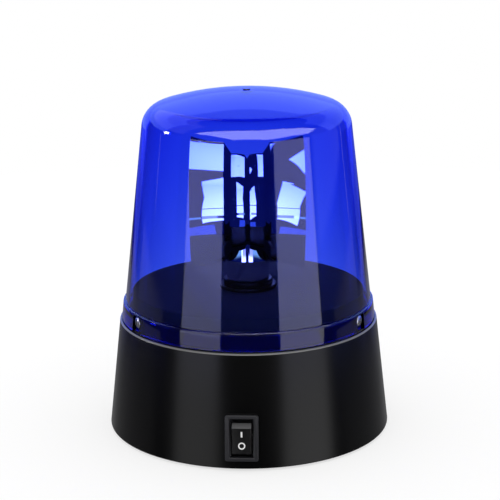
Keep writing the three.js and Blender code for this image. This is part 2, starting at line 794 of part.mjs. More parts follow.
function makeCollar() {
  const inner = rotorTubeRadius + gap;
  const collarRadius = rotorTubeRadius + collarWidth;
  const loop = [
    [inner, collarBottom],
    [collarRadius, collarBottom],
    [collarRadius, collarTop - collarRound],
    [collarRadius - collarRound, collarTop],
    [inner, collarTop],
    [inner, collarBottom],
  ];
  place('rotor_collar', turned(loop, plainSides), blackPlastic);
}

// One half of the reflector's outline, from the middle groove out to the mouth
function hornCurve() {
  const centre = beadTop - beadRadius;
  const reach = (x) => centre + Math.sqrt(beadRadius ** 2 - (x - beadOffset) ** 2);
  const points = [];
  for (let i = 0; i <= arcSteps; i++) {
    const x = (beadEdge * i) / arcSteps;
    points.push([reach(x), x]);
  }
  points.push([hornThroatRadius, hornThroatHalf]);
  for (let i = 1; i <= hornSteps; i++) {
    const share = i / hornSteps;
    const x = THREE.MathUtils.lerp(hornThroatHalf, hornHalfLength, share);
    const sag = hornSwell * 4 * share * (1 - share);
    points.push([THREE.MathUtils.lerp(hornThroatRadius, hornMouthRadius, share) - sag, x]);
  }
  return points;
}

function makeReflector() {
  const half = hornCurve();
  const whole = [...half.map(([r, x]) => [r, -x]).reverse(), ...half.slice(1)];
  const inner = whole.map(([r, x]) => [r - hornWall, x]).reverse();
  const profile = [...whole, ...inner, whole[0]];
  const spool = turned(profile, fineSides).rotateY(Math.PI / 2);
  const shell = solid(spool.translate(0, 0, reflectorAxisHeight));
  const seam = reflectorAxisHeight + seamRise;
  const wide = hornMouthRadius + overrun;
  const above = block(-wide, wide, -wide, wide, seam + gap / 2, seam + 2 * wide);
  const below = block(-wide, wide, -wide, wide, reflectorAxisHeight - wide, seam - gap / 2);
  place('reflector_upper', shell.intersect(above), chrome);
  const hubBore = rotorTubeRadius + gap;
  const hubBottom = collarTop + gap;
  const hub = rod(reflectorHubRadius, hubBottom, reflectorHubEnd, plainSides).subtract(innerHorn(inner));
  const bore = rod(hubBore, hubBottom - overrun, reflectorAxisHeight, plainSides);
  place('reflector_lower', shell.intersect(below).add(hub).subtract(bore), chrome);
}

// The space inside the horns, which the hub must not fill
function innerHorn(inner) {
  const loop = [[0, hornHalfLength], ...inner, [0, -hornHalfLength]];
  const space = turned(loop, fineSides).rotateY(Math.PI / 2);
  return solid(space.translate(0, 0, reflectorAxisHeight));
}

// Lamp

function makeLamp() {
  const flangeTop = gearPlateHeight - gap;
  const flangeBottom = flangeTop - postFlangeThickness;
  const postBore = postRadius - postWall;
  const post = ring(postBore, postRadius, flangeBottom, postTop, plainSides)
    .add(ring(postBore, postRadius + postFlangeWidth, flangeBottom, flangeTop, plainSides));
  place('lamp_post', post, blackPlastic);
  const half = holderWidth / 2;
  const holderBottom = postTop + gap;
  let holder = block(-half, half, -half, half, holderBottom, holderBottom + holderHeight);
  const socketRadius = ledRadius + gap;
  const socket = rod(socketRadius, half - ledLegDepth, half + overrun, smallSides);
  for (const turn of [90, -90]) {
    holder = holder.subtract(socket.rotate([0, turn, 0]).translate([0, 0, reflectorAxisHeight]));
  }
  const leadHole = rod(leadRadius + gap, holderBottom - overrun, holderBottom + overrun, smallSides);
  place('lamp_holder', holder.subtract(leadHole), whitePlastic);
  const back = half - ledLegDepth + gap;
  const rim = half + gap;
  const domeBase = rim + ledLength - ledRadius;
  const profile = [
    [0, back],
    [ledRadius, back],
    [ledRadius, rim],
    [ledRimRadius, rim],
    [ledRimRadius, rim + ledRimThickness],
    [ledRadius, rim + ledRimThickness],
    ...arcPoints(0, domeBase, ledRadius, 0, Math.PI / 2, arcSteps),
  ];
  profile[profile.length - 1][0] = 0;
  [90, -90].forEach((turn, i) => {
    const led = place(`led_${i + 1}`, turned(profile, smallSides), clearPlastic);
    led.position.z = reflectorAxisHeight;
    led.rotation.y = turn * degree;
  });
}

// Motor

// A round can with two flats
function canSolid(radius, flatHalf, bottom, top) {
  return rod(radius, bottom, top, plainSides)
    .intersect(block(-flatHalf, flatHalf, -radius, radius, bottom, top));
}

function makeMotor() {
  const seat = new THREE.Group();
  seat.position.y = gearCentreDistance;
  root.add(seat);
  const innerRadius = motorRadius - motorWall;
  const innerFlat = motorFlatHalf - motorWall;
  const shaftHole = motorShaftRadius + gap;
  let can = canSolid(motorRadius, motorFlatHalf, motorBottom, motorTop)
    .subtract(canSolid(innerRadius, innerFlat, motorBottom - overrun, motorTop - motorFaceThickness))
    .add(rod(motorBossRadius, motorTop - motorFaceThickness, motorTop + motorBossHeight, plainSides))
    .subtract(rod(shaftHole, motorBottom, motorTop + motorBossHeight + overrun, smallSides));
  for (const side of [-1, 1]) {
    const hole = rod(motorScrewRadius + gap, motorTop - overrun, motorTop + overrun, smallSides);
    can = can.subtract(hole.translate([side * motorScrewOffset, 0, 0]));
  }
  place('motor_can', can, steel, seat);
  const capTop = motorBottom - gap;
  const cap = canSolid(motorRadius, motorFlatHalf, capTop - motorCapThickness, capTop)
    .add(canSolid(innerRadius - gap, innerFlat - gap, capTop - motorCapThickness / 2, capTop + motorCapPlug))
    .subtract(rod(shaftHole, capTop - motorCapThickness / 2, capTop + motorCapPlug + overrun, smallSides));
  place('motor_end_cap', cap, whitePlastic, seat);
  const magnetMiddle = motorBottom + (motorLength + motorCapPlug) / 2;
  const magnetLength = motorLength - 2 * magnetInset;
  const magnetBottom = magnetMiddle - magnetLength / 2;
  [90, 270].forEach((angle, i) => {
    const arc = new THREE.Shape();
    const from = (angle - magnetHalfDegrees) * degree;
    const to = (angle + magnetHalfDegrees) * degree;
    arc.absarc(0, 0, magnetOuterRadius, from, to, false);
    arc.absarc(0, 0, magnetInnerRadius, to, from, true);
    const options = { depth: magnetLength, bevelEnabled: false, curveSegments: arcSteps };
    const magnet = new THREE.ExtrudeGeometry(arc, options).translate(0, 0, magnetBottom);
    place(`motor_magnet_${i + 1}`, magnet, blackPlastic, seat);
  });
  const screw = screwShape(motorScrewHeadRadius, motorScrewHeadHeight, motorScrewRadius, motorScrewLength);
  [-1, 1].forEach((side, i) => {
    const mesh = place(`motor_screw_${i + 1}`, screw, steel, seat);
    mesh.position.set(side * motorScrewOffset, 0, gearPlateTop - motorScrewHeadHeight);
  });
  const armatureHalf = motorLength / 2 - armatureInset;
  const shaft = rod(motorShaftRadius, capTop + gap, gearTop, smallSides)
    .add(rod(armatureRadius, magnetMiddle - armatureHalf, magnetMiddle + armatureHalf, plainSides));
  place('motor_shaft', shaft, steel, seat);
  const toothSpace = -Math.PI / 2 + Math.PI / pinionTeeth;
  place('motor_pinion', gearShape(pinionTeeth, shaftHole, toothSpace), brass, seat);
}

// Batteries, contacts and control board

function makeCells() {
  const profile = [
    [0, 0],
    [cellRadius - cellRound, 0],
    [cellRadius, cellRound],
    [cellRadius, cellLength - cellRound],
    [cellRadius - cellRound, cellLength],
    [cellNubRadius, cellLength],
    [cellNubRadius, cellLength + cellNubHeight],
    [0, cellLength + cellNubHeight],
  ];
  const start = (cellLength + cellNubHeight) / 2;
  for (let i = 0; i < cellCount; i++) {
    const facing = i % 2 === 0 ? 1 : -1;
    const cell = place(`battery_cell_${i + 1}`, turned(profile, plainSides), copper);
    cell.position.set(-facing * start, (i - 1) * cellPitch, cellHeight);
    cell.rotation.y = (facing * Math.PI) / 2;
  }
}

// A contact plate at one end of the bay: a single one with a tab up to the board, or a link across two cells
function contactShape(single) {
  const half = single ? contactWidth / 2 : contactWidth / 2 + cellPitch / 2;
  const low = cellHeight - contactWidth / 2;
  const high = cellHeight + contactWidth / 2;
  let shape = block(0, contactThickness, -half, half, low, high);
  if (single) {
    const tab = contactTabWidth / 2;
    shape = shape.add(block(0, contactThickness, -tab, tab, cellHeight, bayTop + tabHeight));
  }
  const places = single ? [0] : [-cellPitch / 2, cellPitch / 2];
  for (const y of places) {
    const bump = contactSpringHeight / 2;
    shape = shape.add(block(-contactSpringReach, contactThickness / 2, y - bump, y + bump,
      cellHeight - bump, cellHeight + bump));
  }
  return shape;
}

function makeContacts() {
  const x = bayHalfLength - gap - contactThickness;
  const kinds = [
    [-1, -cellPitch, true],
    [-1, cellPitch / 2, false],
    [1, -cellPitch / 2, false],
    [1, cellPitch, true],
  ];
  kinds.forEach(([side, y, single], i) => {
    const contact = place(`battery_contact_${i + 1}`, contactShape(single), steel);
    contact.position.set(side * x, y, 0);
    contact.rotation.z = side < 0 ? Math.PI : 0;
  });
}

function makeBoard() {
  let shape = block(-boardHalfLength, boardHalfLength, boardFrontEdge, boardFrontEdge + boardWidth,
    boardBottom, boardTop);
  const tabX = bayHalfLength - gap - contactThickness / 2;
  const half = contactTabWidth / 2 + gap;
  const slot = contactThickness / 2 + gap;
  shape = shape.subtract(block(-tabX - slot, -tabX + slot, -cellPitch - half, -cellPitch + half,
    boardBottom - overrun, boardTop + overrun));
  place('control_board', shape, boardGreen);
  const middle = boardFrontEdge + boardWidth / 2;
  const can = [
    [0, 0],
    [capacitorRadius, 0],
    [capacitorRadius, capacitorHeight - capacitorRound],
    [capacitorRadius - capacitorRound, capacitorHeight],
    [0, capacitorHeight],
  ];
  const capacitor = place('capacitor', turned(can, smallSides), rubber);
  capacitor.position.set(boardHalfLength / 2, middle, boardTop + gap);
  const chip = block(-chipLength / 2, chipLength / 2, -chipWidth / 2, chipWidth / 2, 0, chipHeight);
  const mesh = place('driver_chip', chip, blackPlastic);
  mesh.position.set(-boardHalfLength / 4, middle, boardTop + gap);
}

// Switch

function windowFrustum() {
  const mouthWidth = windowHalfWidth + windowChamfer;
  const mouthHeight = windowHalfHeight + windowChamfer;
  const depth = windowChamfer + overrun;
  const outer = new THREE.BoxGeometry(2 * mouthWidth, depth, 2 * mouthHeight);
  const position = outer.getAttribute('position');
  for (let i = 0; i < position.count; i++) {
    if (position.getY(i) > 0) {
      position.setX(i, Math.sign(position.getX(i)) * windowHalfWidth);
      position.setZ(i, Math.sign(position.getZ(i)) * windowHalfHeight);
    }
  }
  return solid(outer.translate(0, -bezelThickness + windowChamfer - depth / 2, 0));
}

function bezelSolid() {
  const corner = new THREE.Shape();
  const w = bezelHalfWidth;
  const h = bezelHalfHeight;
  const r = bezelRound;
  corner.moveTo(-w + r, -h);
  corner.lineTo(w - r, -h);
  corner.lineTo(w, -h + r);
  corner.lineTo(w, h - r);
  corner.lineTo(w - r, h);
  corner.lineTo(-w + r, h);
  corner.lineTo(-w, h - r);
  corner.lineTo(-w, -h + r);
  corner.closePath();
  const plate = new THREE.ExtrudeGeometry(corner, { depth: bezelThickness - gap, bevelEnabled: false });
  return solid(plate.rotateX(Math.PI / 2).translate(0, -gap, 0));
}

function makeSwitch() {
  const turn = new THREE.Group();
  turn.rotation.z = switchTurnDegrees * degree;
  root.add(turn);
  const face = new THREE.Group();
  face.position.set(0, -baseRadiusAt(switchHeight), switchHeight);
  face.rotation.x = -baseTilt;
  turn.add(face);
  const back = switchBodyDepth;
  const cavity = back - switchBackWall;
  const pivotHole = new THREE.CylinderGeometry(rockerPinRadius + gap, rockerPinRadius + gap,
    2 * switchBodyHalfWidth - 2 * gap, smallSides).rotateZ(Math.PI / 2).translate(0, rockerPivotDepth, 0);
  let body = bezelSolid()
    .add(block(-switchBodyHalfWidth, switchBodyHalfWidth, -2 * gap, back,
      -switchBodyHalfHeight, switchBodyHalfHeight))
    .subtract(windowFrustum())
    .subtract(block(-rockerHalfWidth - gap, rockerHalfWidth + gap, -bezelThickness - overrun, cavity,
      -windowHalfHeight, windowHalfHeight))
    .subtract(solid(pivotHole));
  for (const side of [-1, 1]) {
    const z = side * terminalOffset;
    body = body.subtract(block(-terminalHalfWidth - gap, terminalHalfWidth + gap, cavity - overrun,
      back + overrun, z - terminalThickness / 2 - gap, z + terminalThickness / 2 + gap));
  }
  place('switch_housing', body, blackPlastic, face);
  const blade = block(-terminalHalfWidth, terminalHalfWidth, cavity - terminalInner, cavity - terminalInner
    + terminalLength, -terminalThickness / 2, terminalThickness / 2);
  [-1, 1].forEach((side, i) => {
    const terminal = place(`switch_terminal_${i + 1}`, blade, brass, face);
    terminal.position.z = side * terminalOffset;
  });
  makeRocker(face);
}

function makeRocker(face) {
  const side = new THREE.Shape();
  const top = rockerFaceRise + rockerPivotDepth;
  const dip = rockerDip + rockerPivotDepth;
  const end = rockerPivotDepth - rockerEndDrop;
  side.moveTo(-rockerTipHalf, top);
  side.lineTo(-rockerEndHalf, end);
  side.lineTo(-rockerPivotDepth, -rockerRoot);
  side.lineTo(rockerPivotDepth, -rockerRoot);
  side.lineTo(rockerEndHalf, end);
  side.lineTo(rockerTipHalf, top);
  side.lineTo(0, dip);
  side.closePath();
  const bar = new THREE.ExtrudeGeometry(side, { depth: 2 * rockerHalfWidth, bevelEnabled: false });
  bar.translate(0, 0, -rockerHalfWidth);
  const upright = new THREE.Matrix4().makeBasis(
    new THREE.Vector3(0, 0, 1), new THREE.Vector3(0, -1, 0), new THREE.Vector3(1, 0, 0));
  bar.applyMatrix4(upright);
  const pin = new THREE.CylinderGeometry(rockerPinRadius, rockerPinRadius,
    2 * switchBodyHalfWidth - 4 * gap, smallSides).rotateZ(Math.PI / 2);
  const rocker = place('rocker', solid(bar).add(solid(pin)), blackPlastic, face);
  rocker.position.y = rockerPivotDepth;
  rocker.rotation.x = rockerTiltDegrees * degree;
}

// Leads inside the base

function makeLead(name, points, finish) {
  const route = new THREE.CatmullRomCurve3(points.map(([x, y, z]) => new THREE.Vector3(x, y, z)));
  const section = new THREE.Shape();
  section.absarc(0, 0, leadRadius, 0, 2 * Math.PI, false);
  const options = { steps: leadSteps, extrudePath: route, curveSegments: leadArcs, bevelEnabled: false };
  place(name, new THREE.ExtrudeGeometry(section, options), finish);
}

function makeLeads() {
  const boardMiddle = boardFrontEdge + boardWidth / 2;
  const landing = boardTop + gap;
  const terminalReach = switchBodyDepth - switchBackWall - terminalInner + terminalLength;
  const terminalEnd = new THREE.Vector3(0, terminalReach, 0);
  for (const side of [-1, 1]) {
    const from = terminalEnd.clone().setZ(side * terminalOffset).applyMatrix4(switchPlace());
    const x = side * leadBend;
    const start = from.y + leadRadius;
    makeLead(side < 0 ? 'lead_switch_1' : 'lead_switch_2', [
      [from.x, start, from.z],
      [from.x + x / 2, start + leadBend, from.z + leadBend],
      [x, boardFrontEdge - leadBend / 2, landing + leadBend / 2],
      [x, boardFrontEdge + leadBend / 2, landing + leadBend / 2],
      [x, boardFrontEdge + leadBend / 2, landing],
    ], redCover);
  }
  const capBottom = motorBottom - 2 * gap - motorCapThickness;
  for (const side of [-1, 1]) {
    const x = side * leadBend / 2;
    makeLead(side < 0 ? 'lead_motor_1' : 'lead_motor_2', [
      [x, gearCentreDistance, capBottom],
      [x, gearCentreDistance - leadBend / 4, capBottom - leadBend / 2],
      [2 * x, gearCentreDistance / 2, bayTop + leadBend / 2],
      [3 * x, boardFrontEdge + boardWidth + leadBend, bayTop + leadBend],
      [3 * x, boardFrontEdge + boardWidth - leadBend / 2, landing + leadBend / 3],
      [3 * x, boardFrontEdge + boardWidth - leadBend / 2, landing],
    ], copper);
  }
  makeLead('lead_lamp', [
    [0, 0, postTop - gap],
    [0, 0, gearPlateTop],
    [0, 0, gearPlateHeight - leadBend],
    [0, boardMiddle / 2, landing + leadBend],
    [0, boardMiddle, landing + leadBend / 3],
    [0, boardMiddle, landing],
  ], redCover);
}

makeHousing();
makeBottomPlate();
makeBatteryDoor();
makeFeet();
makeUpwardScrews();
makeLens();
makeSeal();
makeLensScrews();
makeDeck();
makeGearPlate();
makeRotorGear();
makeBush();
makeCollar();
makeReflector();
makeLamp();
makeMotor();
makeCells();
makeContacts();
makeBoard();
makeSwitch();
makeLeads();

export default root;
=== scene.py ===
# A rotating beacon light: black cone base, clear blue lens and a chromed two-horn reflector.
# Metres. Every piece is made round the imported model's bodies and rides on one of them.
import json
import math
import bpy
import bmesh
from mathutils import Matrix, Vector


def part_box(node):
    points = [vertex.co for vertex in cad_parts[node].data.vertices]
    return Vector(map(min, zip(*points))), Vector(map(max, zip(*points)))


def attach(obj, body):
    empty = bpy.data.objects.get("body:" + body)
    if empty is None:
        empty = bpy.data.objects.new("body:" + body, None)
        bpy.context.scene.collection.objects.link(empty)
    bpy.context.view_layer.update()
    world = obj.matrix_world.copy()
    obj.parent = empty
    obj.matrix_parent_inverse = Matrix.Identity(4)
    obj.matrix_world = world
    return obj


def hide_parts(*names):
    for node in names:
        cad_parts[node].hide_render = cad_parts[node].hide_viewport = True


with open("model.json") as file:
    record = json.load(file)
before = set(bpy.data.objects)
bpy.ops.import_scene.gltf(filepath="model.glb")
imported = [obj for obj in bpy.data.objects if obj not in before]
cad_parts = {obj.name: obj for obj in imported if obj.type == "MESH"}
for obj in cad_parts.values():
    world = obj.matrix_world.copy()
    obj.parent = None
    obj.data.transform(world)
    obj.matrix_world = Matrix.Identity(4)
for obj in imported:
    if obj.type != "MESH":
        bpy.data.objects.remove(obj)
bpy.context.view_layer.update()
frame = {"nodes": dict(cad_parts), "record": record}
mm = 0.001
scene = bpy.context.scene


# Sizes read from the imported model

housingLow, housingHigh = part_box("base_housing")
lensLow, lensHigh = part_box("lens_dome")
deckLow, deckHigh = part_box("deck_plate")
collarLow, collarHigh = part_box("rotor_collar")
bushLow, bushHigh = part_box("bearing_bush")
lowerLow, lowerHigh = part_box("reflector_lower")
# The housing's rim stands a step out past the lens's flange
rimStep = 0.9 * mm
rimRadius = lensHigh.x + rimStep
rimHeight = housingHigh.z
nodeSlots = {part["node"]: part["material_slot"] for part in frame["record"]["subparts"]}
print("frame loaded:", len(frame["nodes"]), "nodes")

# Roundings that several pieces share, and how far a cutting shape reaches past what it cuts
crispEdge = 0.1 * mm
fineEdge = 0.15 * mm
smallEdge = 0.2 * mm
softEdge = 0.3 * mm
wideEdge = 0.4 * mm
fullEdge = 0.5 * mm
bevelSegments = 3
overrun = 2 * mm
# Points closer than this are one
weld = 1e-7


# Making meshes

def arc(centre, radius, start, end, steps):
    # points of an arc in an outline, angles in degrees from the outline's first axis
    points = []
    for i in range(steps + 1):
        angle = math.radians(start + (end - start) * i / steps)
        points.append((centre[0] + radius * math.cos(angle), centre[1] + radius * math.sin(angle)))
    return points


def rounded(corners, steps=5):
    # an outline whose corners (radius, height, rounding) are turned into arcs
    points = []
    count = len(corners)
    for i, (x, y, rounding) in enumerate(corners):
        here = Vector((x, y))
        if rounding <= 0:
            points.append((x, y))
            continue
        before = Vector(corners[i - 1][:2]) - here
        after = Vector(corners[(i + 1) % count][:2]) - here
        half = before.angle(after) / 2
        reach = rounding / math.tan(half)
        middle = here + (before.normalized() + after.normalized()).normalized() * rounding / math.sin(half)
        first = here + before.normalized() * reach
        last = here + after.normalized() * reach
        for k in range(steps + 1):
            way = (first - middle).lerp(last - middle, k / steps).normalized()
            points.append(tuple(middle + way * rounding))
    return points


def spin(points, sides, closed=True):
    # a mesh turned about Z from an outline of (radius, height) points
    mesh = bmesh.new()
    rings = []
    for radius, height in points:
        if radius < weld:
            rings.append([mesh.verts.new((0, 0, height))])
            continue
        turn = [2 * math.pi * k / sides for k in range(sides)]
        rings.append([mesh.verts.new((radius * math.cos(a), radius * math.sin(a), height)) for a in turn])
    pairs = list(zip(rings, rings[1:]))
    if closed and len(rings[0]) > 1:
        pairs.append((rings[-1], rings[0]))
    for low, high in pairs:
        for k in range(sides):
            after = k + 1
            loop = [low[k % len(low)], low[after % len(low)], high[after % len(high)], high[k % len(high)]]
            loop = [v for i, v in enumerate(loop) if v not in loop[:i]]
            if len(loop) > 2:
                mesh.faces.new(loop)
    bmesh.ops.remove_doubles(mesh, verts=mesh.verts, dist=weld)
    bmesh.ops.recalc_face_normals(mesh, faces=mesh.faces)
    return mesh


def boxMesh(low, high):
    mesh = bmesh.new()
    bmesh.ops.create_cube(mesh, size=1)
    size = Vector(high) - Vector(low)
    middle = (Vector(high) + Vector(low)) / 2
    bmesh.ops.scale(mesh, vec=size, verts=mesh.verts)
    bmesh.ops.translate(mesh, vec=middle, verts=mesh.verts)
    return mesh


def rodMesh(radius, bottom, top, sides=32):
    return spin([(0, bottom), (radius, bottom), (radius, top), (0, top)], sides, closed=False)


def prism(points, shift):
    # a flat outline drawn out by a shift
    mesh = bmesh.new()
    face = mesh.faces.new([mesh.verts.new(point) for point in points])
    raised = bmesh.ops.extrude_face_region(mesh, geom=[face])
    far = [v for v in raised["geom"] if isinstance(v, bmesh.types.BMVert)]
    bmesh.ops.translate(mesh, vec=shift, verts=far)
    bmesh.ops.recalc_face_normals(mesh, faces=mesh.faces)
    return mesh


def moved(mesh, matrix):
    mesh.transform(matrix)
    return mesh


def asObject(name, mesh):
    data = bpy.data.meshes.new(name)
    mesh.to_mesh(data)
    mesh.free()
    made = bpy.data.objects.new(name, data)
    scene.collection.objects.link(made)
    return made


def applied(piece):
    # the piece with its modifiers turned into plain mesh
    graph = bpy.context.evaluated_depsgraph_get()
    graph.update()
    data = bpy.data.meshes.new_from_object(piece.evaluated_get(graph))
    piece.modifiers.clear()
    piece.data = data
    return piece


def shaped(piece, cutters=(), joins=()):
    # cuts and joins other meshes, which are used up
    for others, operation in ((joins, "UNION"), (cutters, "DIFFERENCE")):
        for mesh in others:
            other = asObject("tool", mesh)
            modifier = piece.modifiers.new("shape", "BOOLEAN")
            modifier.operation = operation
            modifier.solver = "EXACT"
            modifier.object = other
            applied(piece)
            bpy.data.objects.remove(other)
    return piece


def bevelled(piece, width, angle):
    # edges sharper than this angle, rounded
    bevel = piece.modifiers.new("edges", "BEVEL")
    bevel.width = width
    bevel.segments = bevelSegments
    bevel.limit_method = "ANGLE"
    bevel.angle_limit = math.radians(angle)
    return applied(piece)


def finished(piece, body, nodes=(), look=None, sharp=32, slot=None):
    # smooth shading, a material, a body to ride on and the CAD nodes that the piece stands for
    slot = slot or nodeSlots[nodes[0]]
    piece.data.materials.clear()
    piece.data.materials.append(finishes[look or slotFinish[slot]])
    piece.data.shade_smooth()
    piece.data.set_sharp_from_angle(angle=math.radians(sharp))
    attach(piece, body)
    if nodes:
        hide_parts(*nodes)


# Node helpers

def newMaterial(name):
    material = bpy.data.materials.new(name)
    material.use_nodes = True
    return material, material.node_tree, material.node_tree.nodes["Principled BSDF"]


def fill(tree, node, fed):
    # gives several of a node's sockets their values
    for label, value in fed.items():
        feed(tree, value, node.inputs[label])


def addNode(tree, kind, fed=None, **settings):
    node = tree.nodes.new(kind)
    for key, value in settings.items():
        setattr(node, key, value)
    fill(tree, node, fed or {})
    return node


class Number:
    # a node's number, which takes part in plain sums

    def __init__(self, tree, socket):
        self.tree = tree
        self.socket = socket

    def __add__(self, other):
        return calc(self.tree, "ADD", self, other)

    def __sub__(self, other):
        return calc(self.tree, "SUBTRACT", self, other)

    def __rsub__(self, other):
        return calc(self.tree, "SUBTRACT", other, self)

    def __mul__(self, other):
        return calc(self.tree, "MULTIPLY", self, other)

    def __truediv__(self, other):
        return calc(self.tree, "DIVIDE", self, other)


def feed(tree, value, socket):
    # gives a socket a plain value, another node's output or a Number
    if isinstance(value, Number):
        value = value.socket
    if isinstance(value, bpy.types.NodeSocket):
        tree.links.new(value, socket)
    else:
        socket.default_value = value


def calc(tree, operation, *values):
    node = addNode(tree, "ShaderNodeMath", dict(enumerate(values)), operation=operation)
    return Number(tree, node.outputs[0])


def axes(tree, vector):
    node = addNode(tree, "ShaderNodeSeparateXYZ", {0: vector})
    return [Number(tree, socket) for socket in node.outputs]


def vectorOf(tree, *parts):
    return addNode(tree, "ShaderNodeCombineXYZ", dict(enumerate(parts))).outputs[0]


def fromAxis(tree, x, y):
    return calc(tree, "SQRT", x * x + y * y)


def ramp(tree, value, low, high):
    # 0 below low, 1 above high, smooth between
    node = addNode(tree, "ShaderNodeMapRange", {"Value": value, "From Min": low, "From Max": high},
                   interpolation_type="SMOOTHSTEP")
    return Number(tree, node.outputs["Result"])


def between(tree, value, low, high, soft):
    return ramp(tree, value, low - soft, low + soft) * (1.0 - ramp(tree, value, high - soft, high + soft))


def mixColour(tree, share, first, second):
    # the sockets 6 and 7 are the node's two colours
    return addNode(tree, "ShaderNodeMix", {0: share, 6: first, 7: second}, data_type="RGBA").outputs[2]


# Geometry Nodes helpers

def span(tree, value, low, high, first, last):
    # value from low to high turned into first to last, and held at both ends
    node = addNode(tree, "ShaderNodeMapRange", dict(enumerate((value, low, high, first, last))))
    return Number(tree, node.outputs["Result"])


def geometryTree(name, sizes):
    # a tree with one named input for each size, whole numbers for counts
    tree = bpy.data.node_groups.new(name, "GeometryNodeTree")
    for label, start in sizes:
        kind = "NodeSocketInt" if isinstance(start, int) else "NodeSocketFloat"
        tree.interface.new_socket(label, in_out="INPUT", socket_type=kind).default_value = start
    tree.interface.new_socket("Material", in_out="INPUT", socket_type="NodeSocketMaterial")
    tree.interface.new_socket("Geometry", in_out="OUTPUT", socket_type="NodeSocketGeometry")
    given = addNode(tree, "NodeGroupInput").outputs
    return tree, {socket.name: Number(tree, socket) for socket in given if socket.name}


def endTree(tree, inputs, geometry):
    real = addNode(tree, "GeometryNodeRealizeInstances", {0: geometry}).outputs[0]
    coated = addNode(tree, "GeometryNodeSetMaterial", {"Geometry": real, "Material": inputs["Material"]})
    addNode(tree, "NodeGroupOutput", {0: coated.outputs[0]})


def lifted(tree, geometry, height):
    shift = vectorOf(tree, 0.0, 0.0, height)
    return addNode(tree, "GeometryNodeTransform", {"Geometry": geometry, "Translation": shift}).outputs[0]


def reshaped(tree, geometry, value, label="Position"):
    # every point put at a new Position, or moved by an Offset
    return addNode(tree, "GeometryNodeSetPosition", {"Geometry": geometry, label: value}).outputs[0]


def pointAxes(tree):
    return axes(tree, addNode(tree, "GeometryNodeInputPosition").outputs[0])


def grown(name, tree, values, material):
    # an object whose mesh the tree makes from these values
    piece = asObject(name, bmesh.new())
    modifier = piece.modifiers.new("grow", "NODES")
    modifier.node_group = tree
    for item in tree.interface.items_tree:
        if item.item_type == "SOCKET" and item.in_out == "INPUT":
            modifier[item.identifier] = material if item.name == "Material" else values[item.name]
    return applied(piece)


def outward(piece):
    mesh = bmesh.new()
    mesh.from_mesh(piece.data)
    bmesh.ops.recalc_face_normals(mesh, faces=mesh.faces)
    mesh.to_mesh(piece.data)
    mesh.free()
    return piece


# Surface effects that several materials share

skinScales = (2500.0, 40.0)
grainDepth = 0.2 * mm


def makeMouldedSkin():
    # fine moulded grain with faint handling smudges
    group = bpy.data.node_groups.new("mouldedSkin", "ShaderNodeTree")
    for label, start in zip(("Scale", "Smudge Scale"), skinScales):
        socket = group.interface.new_socket(label, in_out="INPUT", socket_type="NodeSocketFloat")
        socket.default_value = start
    group.interface.new_socket("Grain", in_out="OUTPUT", socket_type="NodeSocketFloat")
    group.interface.new_socket("Smudge", in_out="OUTPUT", socket_type="NodeSocketFloat")
    inputs = addNode(group, "NodeGroupInput")
    outputs = addNode(group, "NodeGroupOutput")
    place = addNode(group, "ShaderNodeTexCoord").outputs["Object"]
    for label, result, detail in (("Scale", "Grain", 2.0), ("Smudge Scale", "Smudge", 4.0)):
        noise = addNode(group, "ShaderNodeTexNoise",
                        {"Vector": place, "Scale": inputs.outputs[label], "Detail": detail})
        feed(group, noise.outputs["Fac"], outputs.inputs[result])
    return group


skinGroup = makeMouldedSkin()


def skin(tree, scale, smudgeScale):
    scales = {"Scale": scale, "Smudge Scale": smudgeScale}
    return addNode(tree, "ShaderNodeGroup", scales, node_tree=skinGroup)


def surfaceMaterial(name, colour, smudgeColour, rough, roughSpread, bump=0.02, metallic=0.0, specular=0.5):
    # a plain finish with its own grain, smudges and slight bump
    material, tree, shader = newMaterial(name)
    grain, smudge = skin(tree, *skinScales).outputs
    fill(tree, shader, {
        "Base Color": mixColour(tree, smudge, (*colour, 1), (*smudgeColour, 1)),
        "Roughness": calc(tree, "MULTIPLY_ADD", smudge, roughSpread, rough - roughSpread / 2),
        "Metallic": metallic, "Specular IOR Level": specular,
    })
    if bump > 0:
        lift = addNode(tree, "ShaderNodeBump", {"Strength": bump, "Distance": grainDepth, "Height": grain})
        feed(tree, lift.outputs["Normal"], shader.inputs["Normal"])
    return material


def blackPlastic(name, values):
    return surfaceMaterial(name, values["colour"], values["smudge"], values["rough"], values["spread"],
                           specular=values["specular"])


def repainted(material, mask, colour):
    # another colour where the mask is 1
    tree = material.node_tree
    target = tree.nodes["Principled BSDF"].inputs["Base Color"]
    feed(tree, mixColour(tree, mask, target.links[0].from_socket, (*colour, 1)), target)
    return material


housingFinish = {
    "colour": (0.0012, 0.0012, 0.0013), "smudge": (0.0018, 0.0018, 0.0019), "rough": 0.24, "spread": 0.05,
    # the last three: the painted highlight's grey on the rim's top corner and the band of the corner that it
    # covers
    "specular": 0.22, "rim": (0.15, 0.15, 0.15), "rimHighlightWidth": 0.8 * mm, "rimHighlightFull": 0.56 * mm,
}


def housingMaterial(values):
    # satin black whose top corner is painted grey: a painted highlight along the rim's rounded edge
    material = blackPlastic("satinBlack", values)
    tree = material.node_tree
    x, y, z = axes(tree, addNode(tree, "ShaderNodeTexCoord").outputs["Object"])
    starts, full = values["rimHighlightWidth"], values["rimHighlightFull"]
    # mask of the painted highlight: the rounded top corner of the rim
    high = ramp(tree, z, rimHeight - starts, rimHeight - full)
    wide = ramp(tree, fromAxis(tree, x, y), rimRadius - starts, rimRadius - full)
    return repainted(material, high * wide, values["rim"])


rockerFinish = {
    "colour": (0.003, 0.003, 0.0034), "smudge": (0.004, 0.004, 0.0044), "rough": 0.4, "spread": 0.06,
    # the last two: a painted sheen, lighter grey on faces that look up, and how far up a face must look for
    # it
    "specular": 0.3, "paintedTopSheen": (0.09, 0.09, 0.092), "paintedSheenSlope": (0.5, 0.8),
}


